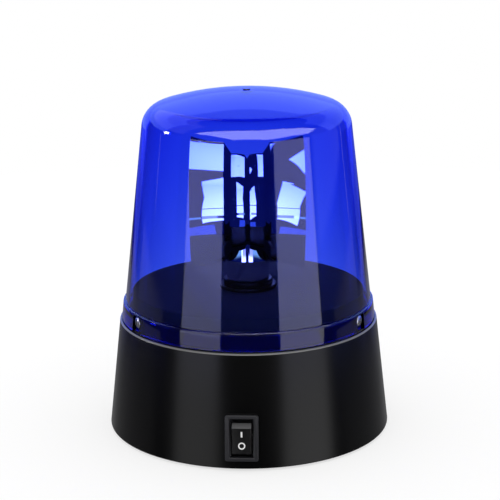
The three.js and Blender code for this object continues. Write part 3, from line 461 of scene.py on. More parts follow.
def rockerMaterial(values):
    # black, with a painted sheen: a lighter colour on the faces that look up
    material = blackPlastic("rockerBlack", values)
    tree = material.node_tree
    up = axes(tree, addNode(tree, "ShaderNodeTexCoord").outputs["Normal"])[2]
    return repainted(material, ramp(tree, up, *values["paintedSheenSlope"]), values["paintedTopSheen"])


lensFinish = {
    # the share of red, green and blue light that one wall lets through
    "oneWall": (0.118, 0.2, 0.928), "wall": 2.2 * mm, "rough": 0.008, "ior": 1.49,
    # how much denser than its most taken colour the dye is, so that no colour of it is below zero
    "margin": 1.01,
}


def lensMaterial(values):
    # clear plastic, coloured all through, so thick parts and edges look deeper
    material = glassMaterial("blueClear", (1.0, 1.0, 1.0), values["rough"], values["ior"])
    tree = material.node_tree
    taken = [-math.log(share) / values["wall"] for share in values["oneWall"]]
    density = max(taken) * values["margin"]
    colour = (*[1 - amount / density for amount in taken], 1)
    dye = addNode(tree, "ShaderNodeVolumeAbsorption", {"Color": colour, "Density": density})
    feed(tree, dye.outputs[0], tree.nodes["Material Output"].inputs["Volume"])
    return material


glassSkin = {"grain": 900.0, "smudge": 25.0, "leastRough": 0.2}


def glassMaterial(name, colour, rough, ior):
    material, tree, shader = newMaterial(name)
    smudge = skin(tree, glassSkin["grain"], glassSkin["smudge"]).outputs["Smudge"]
    fill(tree, shader, {
        "Base Color": (*colour, 1), "Transmission Weight": 1.0, "IOR": ior,
        "Roughness": calc(tree, "MULTIPLY_ADD", smudge, rough, rough * glassSkin["leastRough"]),
    })
    return material


# Plain finishes say their colour, that of the smudges, the roughness and how far it varies
finishes = {
    "housing": housingMaterial(housingFinish),
    "fitting": surfaceMaterial("smoothBlack", (0.002, 0.002, 0.0024), (0.003, 0.003, 0.0034), 0.3, 0.08,
                               specular=0.2),
    "deck": surfaceMaterial("deckBlack", (0.055, 0.055, 0.058), (0.065, 0.065, 0.068), 0.55, 0.08,
                            specular=0.03),
    "switch": surfaceMaterial("switchBlack", (0.01, 0.01, 0.0125), (0.013, 0.013, 0.0155), 0.42, 0.06,
                              specular=0.35),
    "rocker": rockerMaterial(rockerFinish),
    "mark": surfaceMaterial("whiteInk", (0.8, 0.8, 0.8), (0.7, 0.7, 0.7), 0.5, 0.1),
    "lens": lensMaterial(lensFinish),
    "chrome": surfaceMaterial("chromeMirror", (0.9, 0.92, 0.95), (0.86, 0.88, 0.92), 0.03, 0.02,
                              bump=0.0, metallic=1.0),
    "steel": surfaceMaterial("zincSteel", (0.55, 0.55, 0.57), (0.4, 0.4, 0.42), 0.28, 0.12, metallic=1.0),
    "plate": surfaceMaterial("rolledSteel", (0.5, 0.51, 0.53), (0.38, 0.39, 0.41), 0.35, 0.15, metallic=1.0),
    "magnet": surfaceMaterial("darkFerrite", (0.03, 0.03, 0.032), (0.045, 0.045, 0.05), 0.6, 0.1),
    "brass": surfaceMaterial("turnedBrass", (0.62, 0.43, 0.16), (0.5, 0.33, 0.11), 0.3, 0.1, metallic=1.0),
    "rubber": surfaceMaterial("softRubber", (0.008, 0.008, 0.008), (0.014, 0.014, 0.014), 0.75, 0.1,
                              bump=0.1),
    "white": surfaceMaterial("naturalAcetal", (0.72, 0.7, 0.65), (0.66, 0.64, 0.59), 0.45, 0.1),
    "led": glassMaterial("clearEpoxy", (0.95, 0.97, 1.0), 0.05, 1.5),
    "board": surfaceMaterial("solderMask", (0.01, 0.09, 0.03), (0.014, 0.12, 0.045), 0.35, 0.1),
    "cell": surfaceMaterial("cellJacket", (0.3, 0.07, 0.02), (0.26, 0.06, 0.02), 0.3, 0.1),
    "sleeve": surfaceMaterial("shrinkSleeve", (0.01, 0.012, 0.04), (0.015, 0.018, 0.05), 0.3, 0.1),
    "lead": surfaceMaterial("vinylCover", (0.3, 0.015, 0.012), (0.25, 0.012, 0.01), 0.5, 0.1),
}
slotFinish = {
    "black_plastic": "housing", "black_fittings": "fitting", "switch_plastic": "switch", "blue_lens": "lens",
    "chrome_reflector": "chrome", "screw_steel": "steel", "plate_steel": "plate", "magnet_ferrite": "magnet",
    "brass": "brass", "rubber": "rubber", "white_plastic": "white", "led_clear": "led",
    "board_green": "board", "cell_jacket": "cell", "capacitor_sleeve": "sleeve", "lead_cover": "lead",
}
for part in frame["record"]["subparts"]:
    held = frame["nodes"][part["node"]].data.materials
    held.clear()
    held.append(finishes[slotFinish[part["material_slot"]]])
print("materials made:", len(finishes))


# Camera and studio

cameraPlace = {
    "aimHeight": 80 * mm, "distance": 774.3 * mm, "elevation": 15.155, "roll": -0.5,
    "lens": 117.7, "sensor": 36, "shiftX": 0.0042, "shiftY": 0.0184, "near": 10 * mm, "far": 20,
}


def makeCamera(place):
    data = bpy.data.cameras.new("camera")
    data.lens = place["lens"]
    data.sensor_width = place["sensor"]
    data.shift_x = place["shiftX"]
    data.shift_y = place["shiftY"]
    data.clip_start = place["near"]
    data.clip_end = place["far"]
    camera = bpy.data.objects.new("camera", data)
    scene.collection.objects.link(camera)
    tilt = math.radians(place["elevation"])
    back = Vector((0, -math.cos(tilt), math.sin(tilt)))
    turn = (-back).to_track_quat("-Z", "Y").to_matrix().to_4x4()
    roll = Matrix.Rotation(math.radians(place["roll"]), 4, "Z")
    spot = Vector((0, 0, place["aimHeight"])) + back * place["distance"]
    camera.matrix_world = Matrix.Translation(spot) @ turn @ roll
    scene.camera = camera


# Lights that polished surfaces mirror. Boxes are degrees round from the front and degrees above level.
# Panes have corners on the overhead plane (right, front), where 1 is level with the horizon.
outerStudio = {
    "ground": (0.02, 0.02, 0.022),
    "boxes": {
        "leftWindow": ((-63, -25), (-3, 8), (1.75, 1.8, 2.3)),
        "rightWindow": ((28, 70), (-3, 8), (1.75, 1.8, 2.3)),
        "leftFoot": ((-63, -25), (-50, -3), (1.3, 1.3, 1.3)),
        "rightFoot": ((28, 70), (-50, -3), (1.8, 1.8, 1.8)),
        "rightFill": ((73, 115), (-3.5, 30), (0.16, 0.2, 0.3)),
        "leftGlow": ((-165, -75), (20, 60), (0.3, 0.3, 0.4)),
        "leftLine": ((-106.4, -105.4), (-5, 6), (0.6, 0.6, 0.6)),
        "rightLine": ((120.3, 121.3), (-7, 10), (0.6, 0.6, 0.6)),
        "rightSide": ((75, 150), (-3.5, 12), (0.03, 0.06, 0.3)),
    },
    "backBoxes": {
        "floorNear": ((85, 125), (-60, -7.5), (0.15, 0.15, 0.15)),
        "floorSide": ((125, 150), (-60, -10.8), (0.16, 0.16, 0.16)),
        "floorFar": ((150, 181), (-60, -12.6), (0.22, 0.22, 0.22)),
        "sideSky": ((75, 112), (-4, 12), (0.02, 0.04, 0.5)),
        "farSky": ((112, 181), (-8, 12), (0.02, 0.04, 0.5)),
        "edgeSky": ((138, 181), (-11, 12), (0.06, 0.1, 0.7)),
        "topSky": ((140, 181), (-6, 12), (0.2, 0.3, 0.9)),
        "backSky": ((100, 181), (12, 52), (0.22, 0.36, 1.2)),
        "backGlow": ((100, 181), (12, 36), (0.16, 0.24, 0.5)),
    },
    "shades": {},
    "panes": (
        ((-0.52, 0.26), (-0.2, 0.73), (0.34, 0.7), (0.1, 0.28)),
        ((0.1, 0.28), (0.34, 0.7), (0.66, 0.22), (0.58, 0.0)),
    ),
    "paneLight": (5, 5, 5),
    "lamp": {"way": (-98, 11), "reach": 4.5, "core": 3.6, "light": (30, 30, 30)},
}

# The lights that the mirror inside the lens shows, warm so that they come out pale through the blue
innerStudio = {
    "ground": (0.05, 0.06, 0.12),
    "boxes": {
        "leftFloor": ((-60, -14), (-60, -33), (1, 1, 1)),
        "rightFloor": ((14, 60), (-60, -28), (1, 1, 1)),
        "hubLeft": ((-80, -28), (-15.8, -12.6), (5, 5, 1.2)),
        "hubRight": ((28, 80), (-15.8, -12.6), (5, 5, 1.2)),
    },
    "backBoxes": {},
    # where the panes are dimmed, and by what share, so that the hub's front stays dark
    "shades": {
        "hubCentre": ((-10, 10), (-16.2, -11.2), 1.0),
        "hubFront": ((-28, 28), (-16.2, -11.2), 0.7),
    },
    "panes": (
        ((-0.01, -0.776), (0.58, 0.03), (-0.01, 0.127)),
        ((-0.149, -0.09), (-0.6, 0.573), (-0.75, -0.3), (-0.32, -0.526)),
        ((0.018, 0.25), (0.244, 0.318), (0.32, 0.72), (0.04, 0.72)),
        ((0.038, 0.68), (0.3, 0.62), (0.7, 1.36), (0.3, 1.44), (0.085, 1.44)),
        ((-0.15, 0.338), (-0.44, 0.465), (-0.53, 0.81), (-0.136, 0.83)),
        ((-0.51, 0.76), (-0.911, 1.402), (-0.23, 1.37), (-0.136, 0.78)),
    ),
    "paneLight": (35, 20, 8),
    "lamp": None,
}

# What is seen after a second mirroring inside the lens
mirroredTwice = (0.05, 0.06, 0.12)
edgeSoftness = {"degrees": 0.6, "plane": 0.008}
# How many faces a ray has passed or been mirrored by, with the half that tells whole numbers apart
pathSteps = {"insideLens": 2.5, "mirrored": 0.5, "mirroredTwice": 1.5}
# Keeps the overhead plane finite for a ray that looks straight down
leastAbove = 0.01


def gather(tree, total, colour, shape):
    part = addNode(tree, "ShaderNodeVectorMath", {0: colour, "Scale": shape}, operation="SCALE").outputs[0]
    return addNode(tree, "ShaderNodeVectorMath", {0: total, 1: part}, operation="ADD").outputs[0]


def boxShape(tree, azimuth, elevation, around, height):
    soft = edgeSoftness["degrees"]
    return between(tree, azimuth, *around, soft) * between(tree, elevation, *height, soft)


def paneDepth(tree, across, forward, corners):
    # how far inside a convex pane a place on the overhead plane lies
    turn = sum(a[0] * b[1] - b[0] * a[1] for a, b in zip(corners, corners[1:] + corners[:1]))
    if turn < 0:
        corners = corners[::-1]
    depth = None
    for a, b in zip(corners, corners[1:] + corners[:1]):
        length = math.hypot(b[0] - a[0], b[1] - a[1])
        nx, nf = (a[1] - b[1]) / length, (b[0] - a[0]) / length
        side = calc(tree, "MULTIPLY_ADD", forward, nf, -nx * a[0] - nf * a[1])
        side = calc(tree, "MULTIPLY_ADD", across, nx, side)
        depth = side if depth is None else calc(tree, "MINIMUM", depth, side)
    return depth


def lampShape(tree, way, lamp):
    around, height = (math.radians(v) for v in lamp["way"])
    aim = (math.sin(around) * math.cos(height), -math.cos(around) * math.cos(height), math.sin(height))
    near = addNode(tree, "ShaderNodeVectorMath", {0: way, 1: aim}, operation="DOT_PRODUCT")
    rim, core = (math.cos(math.radians(lamp[key])) for key in ("reach", "core"))
    return ramp(tree, near.outputs["Value"], rim, core)


def mirroredStudio(tree, way, values):
    # the light that a mirror sees in each direction
    x, y, z = axes(tree, way)
    degrees = 180 / math.pi
    front = y * -1.0
    azimuth = calc(tree, "ARCTAN2", x, front) * degrees
    elevation = calc(tree, "ARCSINE", z) * degrees
    above = calc(tree, "MAXIMUM", z + 1.0, leastAbove)
    across = x / above
    forward = front / above
    sideways = calc(tree, "ABSOLUTE", azimuth)
    total = vectorOf(tree, *values["ground"])
    for kind, turned in (("boxes", azimuth), ("backBoxes", sideways)):
        for around, height, light in values[kind].values():
            total = gather(tree, total, light, boxShape(tree, turned, elevation, around, height))
    deepest = -1.0
    for corners in values["panes"]:
        deepest = calc(tree, "MAXIMUM", deepest, paneDepth(tree, across, forward, corners))
    soft = edgeSoftness["plane"]
    glazed = ramp(tree, deepest, -soft, soft)
    for around, height, share in values["shades"].values():
        glazed = glazed * (1.0 - boxShape(tree, azimuth, elevation, around, height) * share)
    total = gather(tree, total, values["paneLight"], glazed)
    if values["lamp"]:
        total = gather(tree, total, values["lamp"]["light"], lampShape(tree, way, values["lamp"]))
    return total


def makeWorld():
    world = bpy.data.worlds.new("studio")
    scene.world = world
    world.use_nodes = True
    tree = world.node_tree
    tree.nodes.clear()
    way = addNode(tree, "ShaderNodeTexCoord").outputs["Generated"]
    outer = mirroredStudio(tree, way, outerStudio)
    inner = mirroredStudio(tree, way, innerStudio)
    path = addNode(tree, "ShaderNodeLightPath").outputs
    again = calc(tree, "GREATER_THAN", path["Glossy Depth"], pathSteps["mirroredTwice"])
    inner = mixColour(tree, again, inner, (*mirroredTwice, 1))
    throughLens = calc(tree, "GREATER_THAN", path["Transmission Depth"], pathSteps["insideLens"])
    mirrored = mixColour(tree, throughLens, outer, inner)
    reflected = calc(tree, "GREATER_THAN", path["Glossy Depth"], pathSteps["mirrored"])
    seen = calc(tree, "MAXIMUM", path["Is Camera Ray"],
                calc(tree, "MAXIMUM", path["Is Glossy Ray"], path["Is Transmission Ray"]))
    shown = mixColour(tree, reflected * seen, (1, 1, 1, 1), mirrored)
    background = addNode(tree, "ShaderNodeBackground", {"Color": shown})
    addNode(tree, "ShaderNodeOutputWorld", {"Surface": background.outputs[0]})


floorLook = {"reach": 600 * mm, "thickness": 2 * mm, "sides": 96, "colour": 0.4, "rough": 0.9, "glow": 0.63}


def makeFloor(look):
    floor = asObject("floor", rodMesh(look["reach"], -look["thickness"], 0, look["sides"]))
    material, tree, shader = newMaterial("paleFloor")
    colour = (*[look["colour"]] * 3, 1)
    fill(tree, shader, {"Base Color": colour, "Roughness": look["rough"], "Specular IOR Level": 0.0})
    lift = addNode(tree, "ShaderNodeEmission", {"Strength": look["glow"]})
    both = addNode(tree, "ShaderNodeAddShader", {0: shader.outputs[0], 1: lift.outputs[0]})
    feed(tree, both.outputs[0], tree.nodes["Material Output"].inputs["Surface"])
    floor.data.materials.append(material)
    floor.visible_glossy = False
    floor.visible_transmission = False


makeCamera(cameraPlace)
makeWorld()
makeFloor(floorLook)
scene.view_settings.view_transform = "Standard"
print("camera and studio made")


# Base housing, with the switch's wall opening

housingSizes = {
    "wall": 2.5 * mm, "flare": 6 * mm, "shelfDrop": 6 * mm, "shelfThickness": 2.5 * mm,
    "shelfWidth": 9.1 * mm, "edge": 0.8 * mm, "boreInset": 3.5 * mm, "sides": 256,
    "grooveInset": 0.5 * mm, "grooveWidth": 2.4 * mm, "grooveDepth": 0.9 * mm,
}
lensFootRadius = lensHigh.x
boreRadius = lensFootRadius - housingSizes["boreInset"]
bottomRadius = rimRadius + housingSizes["flare"]
wallTilt = math.atan(housingSizes["flare"] / rimHeight)


def coneRadius(height):
    return bottomRadius + (rimRadius - bottomRadius) * height / rimHeight


switchSizes = {
    "turn": -3, "height": 15.3 * mm, "bodyHalf": (6.4 * mm, 9.4 * mm), "bodyDepth": 11 * mm, "gap": 0.3 * mm,
    "bezelHalf": (7.5 * mm, 10.5 * mm), "bezelDepth": 1.9 * mm, "bezelRound": 1.1 * mm, "border": 0.45 * mm,
    "windowHalf": (5.4 * mm, 8.85 * mm), "chamfer": 0.6 * mm, "rockerHalf": 4.4 * mm,
    "pivotDepth": 3 * mm, "restTilt": 12, "windowDepth": 1.2 * mm, "wellGap": 0.35 * mm, "wellStart": 1 * mm,
    "wellDepth": 7 * mm, "openingHalf": 5 * mm, "cornerSteps": 6,
}


def switchPlace():
    # the switch is drawn with its face towards -Y and put on the sloping wall
    turn = Matrix.Rotation(math.radians(switchSizes["turn"]), 4, "Z")
    out = Matrix.Translation((0, -coneRadius(switchSizes["height"]), switchSizes["height"]))
    return turn @ out @ Matrix.Rotation(-wallTilt, 4, "X")


def makeHousing(sizes):
    low = housingLow.z
    wall = sizes["wall"]
    shelf = rimHeight - sizes["shelfDrop"]
    under = shelf - sizes["shelfThickness"]
    grooveIn = boreRadius + sizes["grooveInset"]
    grooveOut = grooveIn + sizes["grooveWidth"]
    shelfRadius = boreRadius - sizes["shelfWidth"]
    outline = rounded([
        (coneRadius(low) - wall, low, softEdge),
        (coneRadius(low), low, sizes["edge"]),
        (rimRadius, rimHeight, sizes["edge"]),
        (grooveOut, rimHeight, fineEdge),
        (grooveOut, rimHeight - sizes["grooveDepth"], 0),
        (grooveIn, rimHeight - sizes["grooveDepth"], 0),
        (grooveIn, rimHeight, crispEdge),
        (boreRadius, rimHeight, fineEdge),
        (boreRadius, shelf, smallEdge),
        (shelfRadius, shelf, wideEdge),
        (shelfRadius, under, wideEdge),
        (coneRadius(under) - wall, under, fullEdge),
    ])
    piece = asObject("housing", spin(outline, sizes["sides"]))
    halfX, halfZ = (h + switchSizes["gap"] for h in switchSizes["bodyHalf"])
    deep = switchSizes["openingHalf"]
    opening = boxMesh((-halfX, -deep, -halfZ), (halfX, deep, halfZ))
    shaped(piece, cutters=[moved(opening, switchPlace())])
    finished(piece, "base", ["base_housing"])


makeHousing(housingSizes)
print("housing made")


# Lens with its flange, screw recesses and gate mark

lensSizes = {
    "wall": 2.2 * mm, "ledgeRise": 9 * mm, "flangeDraft": 0.9 * mm, "ledgeWidth": 1 * mm, "taper": 9.4 * mm,
    "shoulder": 11.5 * mm, "crownEdge": 16.8, "pipRadius": 1.8 * mm, "pipHeight": 0.5 * mm, "sides": 256,
    "recessDepth": 2.2 * mm, "recessWidth": 7 * mm, "recessRoof": 0.8 * mm, "screwDrop": 3.7 * mm,
    "screwHole": 1.4 * mm, "screwAngles": (-150, -30, 90), "ledgeEdge": 0.7 * mm, "footEdge": 0.35 * mm,
    "innerEdge": 0.6 * mm, "crownSteps": 10, "shoulderSteps": 14, "pipSteps": 3, "holeSides": 24,
}
ledgeHeight = rimHeight + lensSizes["ledgeRise"]
screwHeight = ledgeHeight - lensSizes["screwDrop"]
recessRadius = lensFootRadius - lensSizes["recessDepth"]


def lensCurve(sizes, inset):
    ledge = lensFootRadius - sizes["flangeDraft"]
    lowRadius = ledge - sizes["ledgeWidth"]
    shoulderMiddle = lowRadius - sizes["taper"] - sizes["shoulder"]
    top = lensHigh.z - sizes["pipHeight"]
    edge = math.radians(sizes["crownEdge"])
    crownRadius = shoulderMiddle / math.sin(edge) + sizes["shoulder"]
    crownMiddle = top - crownRadius
    shoulderHeight = crownMiddle + (crownRadius - sizes["shoulder"]) * math.cos(edge)
    lean = math.atan(sizes["taper"] / (shoulderHeight - ledgeHeight))
    crown = arc((0, crownMiddle), crownRadius - inset, 90, 90 - sizes["crownEdge"], sizes["crownSteps"])
    shoulder = arc((shoulderMiddle, shoulderHeight), sizes["shoulder"] - inset, 90 - sizes["crownEdge"],
                   math.degrees(lean), sizes["shoulderSteps"])
    return crown + shoulder[1:] + [(lowRadius - inset / math.cos(lean), ledgeHeight)]


def makeLens(sizes):
    outer = lensCurve(sizes, 0)
    inner = lensCurve(sizes, sizes["wall"])
    inner[0] = (0, inner[0][1])
    top = lensHigh.z
    pip = sizes["pipRadius"]
    crownTop = outer[0][1]
    ledge = lensFootRadius - sizes["flangeDraft"]
    foot = rounded([
        (*outer[-1], softEdge),
        (ledge, ledgeHeight, sizes["ledgeEdge"]),
        (lensFootRadius, lensLow.z, sizes["footEdge"]),
        (boreRadius, lensLow.z, sizes["footEdge"]),
        (boreRadius, ledgeHeight - sizes["wall"], fullEdge),
        (*inner[-1], sizes["innerEdge"]),
    ])
    start = [(0, top, 0), (pip, top, fineEdge), (pip, crownTop, crispEdge), (pip * 2, crownTop, 0)]
    start = rounded(start, sizes["pipSteps"])[:-1]
    outline = start + outer[1:-1] + foot + inner[-2::-1]
    piece = asObject("lens", spin(outline, sizes["sides"], closed=False))
    half = sizes["recessWidth"] / 2
    roof = ledgeHeight - sizes["recessRoof"]
    cutters = []
    for angle in sizes["screwAngles"]:
        turn = Matrix.Rotation(math.radians(angle), 4, "Z")
        recess = boxMesh((recessRadius, -half, lensLow.z - overrun), (lensFootRadius + overrun, half, roof))
        hole = rodMesh(sizes["screwHole"], boreRadius - overrun, lensFootRadius, sizes["holeSides"])
        level = Matrix.Translation((0, 0, screwHeight)) @ Matrix.Rotation(math.pi / 2, 4, "Y")
        cutters += [moved(recess, turn), moved(hole, turn @ level)]
    shaped(piece, cutters=cutters)
    finished(piece, "base", ["lens_dome"], sharp=35)


makeLens(lensSizes)
print("lens made")


# Deck, bush and collar

deckSizes = {
    "thickness": 2.5 * mm, "skirtWall": 2.4 * mm, "step": 1.4 * mm, "stepDrop": 2.5 * mm, "edge": 0.5 * mm,
    "hubRing": 3 * mm, "hubDepth": 2.7 * mm, "skirtGap": 0.5 * mm, "bushLip": 2.8 * mm, "bushGap": 0.3 * mm,
    "sides": 256,
}


def makeDeck(sizes):
    top, foot = deckHigh.z, deckLow.z
    skirt = boreRadius - sizes["skirtGap"]
    radius = skirt - sizes["step"]
    wall = sizes["skirtWall"]
    step = ledgeHeight - sizes["stepDrop"]
    under = top - sizes["thickness"]
    hole = -bushLow.x - sizes["bushLip"] + sizes["bushGap"]
    outline = rounded([
        (hole, top, crispEdge),
        (hole, under - sizes["hubDepth"], 0),
        (hole + sizes["hubRing"], under - sizes["hubDepth"], softEdge),
        (hole + sizes["hubRing"], under, softEdge),
        (radius - wall, under, fullEdge),
        (radius - wall, step + wall, softEdge),
        (skirt - wall, step, softEdge),
        (skirt - wall, foot, smallEdge),
        (skirt, foot, softEdge),
        (skirt, step, wideEdge),
        (radius, step + wall, softEdge),
        (radius, top, sizes["edge"]),
    ])
    piece = asObject("deck", spin(outline, sizes["sides"]))
    finished(piece, "base", ["deck_plate"], "deck")


bushSizes = {"bore": 8.6 * mm, "body": 10.7 * mm, "flangeGap": 0.3 * mm, "sides": 128}


def makeBush(sizes):
    flangeBottom = deckHigh.z + sizes["flangeGap"]
    outline = rounded([
        (sizes["bore"], bushLow.z, smallEdge),
        (sizes["body"], bushLow.z, smallEdge),
        (sizes["body"], flangeBottom, 0),
        (bushHigh.x, flangeBottom, fineEdge),
        (bushHigh.x, bushHigh.z, fullEdge),
        (sizes["bore"], bushHigh.z, softEdge),
    ])
    piece = asObject("bush", spin(outline, sizes["sides"]))
    finished(piece, "base", ["bearing_bush"])


collarSizes = {"bore": 8.5 * mm, "topEdge": 0.6 * mm, "sides": 128}


def makeCollar(sizes):
    outline = rounded([
        (sizes["bore"], collarLow.z, smallEdge),
        (collarHigh.x, collarLow.z, softEdge),
        (collarHigh.x, collarHigh.z, sizes["topEdge"]),
        (sizes["bore"], collarHigh.z, smallEdge),
    ])
    piece = asObject("collar", spin(outline, sizes["sides"]))
    finished(piece, "rotor", ["rotor_collar"])


makeDeck(deckSizes)
makeBush(bushSizes)
makeCollar(collarSizes)
print("deck, bush and collar made")


# Reflector: a spool on a level axis, parted along a level seam

hornSizes = {
    "axisHeight": 107.8 * mm, "mouth": 31.2 * mm, "half": 26 * mm, "throat": 27.9 * mm,
    "throatHalf": 10.7 * mm, "beadTop": 22.9 * mm, "beadFlat": 5.2 * mm, "beadCurve": 14 * mm,
    "beadEdge": 7.3 * mm, "swell": 0.7 * mm, "dip": 20.5 * mm, "notch": 1.2 * mm, "wall": 1.5 * mm,
    "seamRise": 3.8 * mm, "seamGap": 0.3 * mm, "hub": 10 * mm, "bore": 8.5 * mm, "hubOverlap": 3 * mm,
    "reach": 50 * mm, "sides": 256, "hubSides": 128, "boreSides": 96,
}
# The grown spool's inputs and the sizes that they take
hornInputs = {
    "Mouth": "mouth", "Half Length": "half", "Throat": "throat", "Throat Half": "throatHalf",
    "Bead Top": "beadTop", "Bead Flat": "beadFlat", "Bead Curve": "beadCurve", "Bead Edge": "beadEdge",
    "Dip": "dip", "Notch": "notch", "Swell": "swell", "Wall": "wall", "Axis Height": "axisHeight",
    "Sides": "sides",
}
# Rows of points from the middle out to where each stretch of one side ends
hornRows = {"notch": 1.0, "bead": 16.0, "throat": 17.0, "end": 34.0}
# A face that looks at least this nearly along the spool's axis is part of its rim
rimFacing = 0.99


def makeHornTree(values, rows):
    # a grid wrapped round a level axis: rows outside, as many inside and one that closes the loop
    tree, inputs = geometryTree("hornSpool", values.items())
    sides = inputs["Sides"]
    skinRows = 2 * rows["end"] + 1
    grid = addNode(tree, "GeometryNodeMeshGrid", {
        "Vertices X": int(2 * skinRows + 1), "Vertices Y": sides + 1.0,
        "Size X": 2 * skinRows, "Size Y": sides})
    x, y, z = pointAxes(tree)
    row = calc(tree, "FLOORED_MODULO", calc(tree, "ROUND", x + skinRows), 2 * skinRows)
    inside = calc(tree, "GREATER_THAN", row, skinRows - 0.5)
    along = row + inside * (2 * skinRows - 1 - row * 2.0) - rows["end"]
    far = calc(tree, "ABSOLUTE", along)
    notch, edge = inputs["Notch"], inputs["Bead Edge"]
    throat, half = inputs["Throat Half"], inputs["Half Length"]
    out = span(tree, far, 0.0, rows["notch"], 0.0, notch)
    for first, last, low, high in (("notch", "bead", notch, edge), ("bead", "throat", edge, throat),
                                   ("throat", "end", throat, half)):
        out = out + span(tree, far, rows[first], rows[last], 0.0, high - low)

    def beadRadius(place):
        off = calc(tree, "MINIMUM", place - inputs["Bead Flat"], 0.0)
        return inputs["Bead Top"] - off * off / (inputs["Bead Curve"] * 2.0)

    bead = beadRadius(calc(tree, "MINIMUM", calc(tree, "MAXIMUM", out, notch), edge))
    drop = span(tree, out, 0.0, notch, beadRadius(notch) - inputs["Dip"], 0.0)
    flank = span(tree, out, edge, throat, 0.0, inputs["Throat"] - beadRadius(edge))
    share = span(tree, out, throat, half, 0.0, 1.0)
    horn = share * (inputs["Mouth"] - inputs["Throat"])
    sag = share * (1.0 - share) * 4.0 * inputs["Swell"]
    radius = bead + flank - drop + horn - sag - inside * inputs["Wall"]
    angle = y / sides * (2 * math.pi)
    level = radius * calc(tree, "COSINE", angle)
    height = radius * calc(tree, "SINE", angle) + inputs["Axis Height"]
    place = vectorOf(tree, out * calc(tree, "SIGN", along), level, height)
    wrapped = reshaped(tree, grid.outputs["Mesh"], place)
    joined = addNode(tree, "GeometryNodeMergeByDistance", {"Geometry": wrapped, "Distance": weld})
    endTree(tree, inputs, joined.outputs[0])
    return tree


def hornSpace(data, sizes):
    # the space inside the horns: the spool's inner skin, closed at both ends
    mesh = bmesh.new()
    mesh.from_mesh(data)
    axis = Vector((0, 0, sizes["axisHeight"]))
    drop = []
    for face in mesh.faces:
        middle = face.calc_center_median() - axis
        rim = abs(face.normal.x) > rimFacing
        if rim or face.normal.dot(Vector((0, middle.y, middle.z))) >= 0:
            drop.append(face)
    bmesh.ops.delete(mesh, geom=drop, context="FACES")
    bmesh.ops.holes_fill(mesh, edges=[e for e in mesh.edges if e.is_boundary], sides=0)
    bmesh.ops.recalc_face_normals(mesh, faces=mesh.faces)
    return mesh


def makeHub(space, sizes):
    # the hub's solid stub, without what lies inside the horns
    low, top = lowerLow.z, sizes["axisHeight"] - sizes["dip"] + sizes["hubOverlap"]
    outline = rounded([(0, low, 0), (sizes["hub"], low, wideEdge), (sizes["hub"], top, 0), (0, top, 0)])
    stub = asObject("hub", spin(outline, sizes["hubSides"], closed=False))
    shaped(stub, cutters=[space])
    mesh = bmesh.new()
    mesh.from_mesh(stub.data)
    bpy.data.objects.remove(stub)
    return mesh


def makeReflector(sizes):
    seam = sizes["axisHeight"] + sizes["seamRise"]
    wide, gap = sizes["reach"], sizes["seamGap"] / 2
    values = {label: sizes[key] for label, key in hornInputs.items()}
    tree = makeHornTree(values, hornRows)
    upper = outward(grown("reflectorTop", tree, values, finishes["chrome"]))
    shaped(upper, cutters=[boxMesh((-wide, -wide, seam - 2 * wide), (wide, wide, seam + gap))])
    finished(upper, "rotor", ["reflector_upper"])
    lower = outward(grown("reflectorBase", tree, values, finishes["chrome"]))
    hub = makeHub(hornSpace(lower.data, sizes), sizes)
    bore = rodMesh(sizes["bore"], lowerLow.z - overrun, sizes["axisHeight"], sizes["boreSides"])
    above = boxMesh((-wide, -wide, seam - gap), (wide, wide, seam + 2 * wide))
    shaped(lower, joins=[hub], cutters=[bore, above])
    finished(lower, "rotor", ["reflector_lower"])


makeReflector(hornSizes)
print("reflector made")


# Switch: bezel, rocker and its marks

def makeSwitch(sizes):
    bx, bz = sizes["bezelHalf"]
    wx, wz = sizes["windowHalf"]
    depth, gap, corner = sizes["bezelDepth"], sizes["gap"], sizes["bezelRound"]
    corners = [(-bx, -bz, corner), (bx, -bz, corner), (bx, bz, corner), (-bx, bz, corner)]
    outline = rounded(corners, sizes["cornerSteps"])
    piece = asObject("switchCase", prism([(x, -gap, z) for x, z in outline], (0, gap - depth, 0)))
    bodyX, bodyZ = sizes["bodyHalf"]
    body = boxMesh((-bodyX, -2 * gap, -bodyZ), (bodyX, sizes["bodyDepth"], bodyZ))
    window = boxMesh((-wx, -depth - overrun, -wz), (wx, sizes["windowDepth"], wz))
    half = sizes["rockerHalf"] + sizes["wellGap"]
    well = boxMesh((-half, -sizes["wellStart"], -wz), (half, sizes["wellDepth"], wz))
    shaped(piece, joins=[body], cutters=[window, well])
    bevelled(piece, sizes["border"], angle=50)
    piece.data.transform(switchPlace())
    finished(piece, "base", ["switch_housing"], sharp=40)


rockerSizes = {
    # outline of the bar from its pivot: end, foot and dip as (along, outwards)
    "tip": (6.4 * mm, 5.6 * mm), "end": (7.5 * mm, 2 * mm), "foot": (3 * mm, -1.6 * mm), "dip": 3.9 * mm,
    "edge": 0.35 * mm, "pin": 1.1 * mm, "pinHalf": 5.8 * mm,
    # the marks on its two faces, in steps from the dip
    "barMiddle": 3.1 * mm, "barHalf": (0.38 * mm, 1.6 * mm), "ringMiddle": 2.8 * mm, "ringRadius": 1.6 * mm,
    "stroke": 0.56 * mm, "rise": 0.05 * mm, "ringSides": 64,
}


def rockerPlace():
    tilt = Matrix.Rotation(math.radians(switchSizes["restTilt"]), 4, "X")
    return switchPlace() @ Matrix.Translation((0, switchSizes["pivotDepth"], 0)) @ tilt


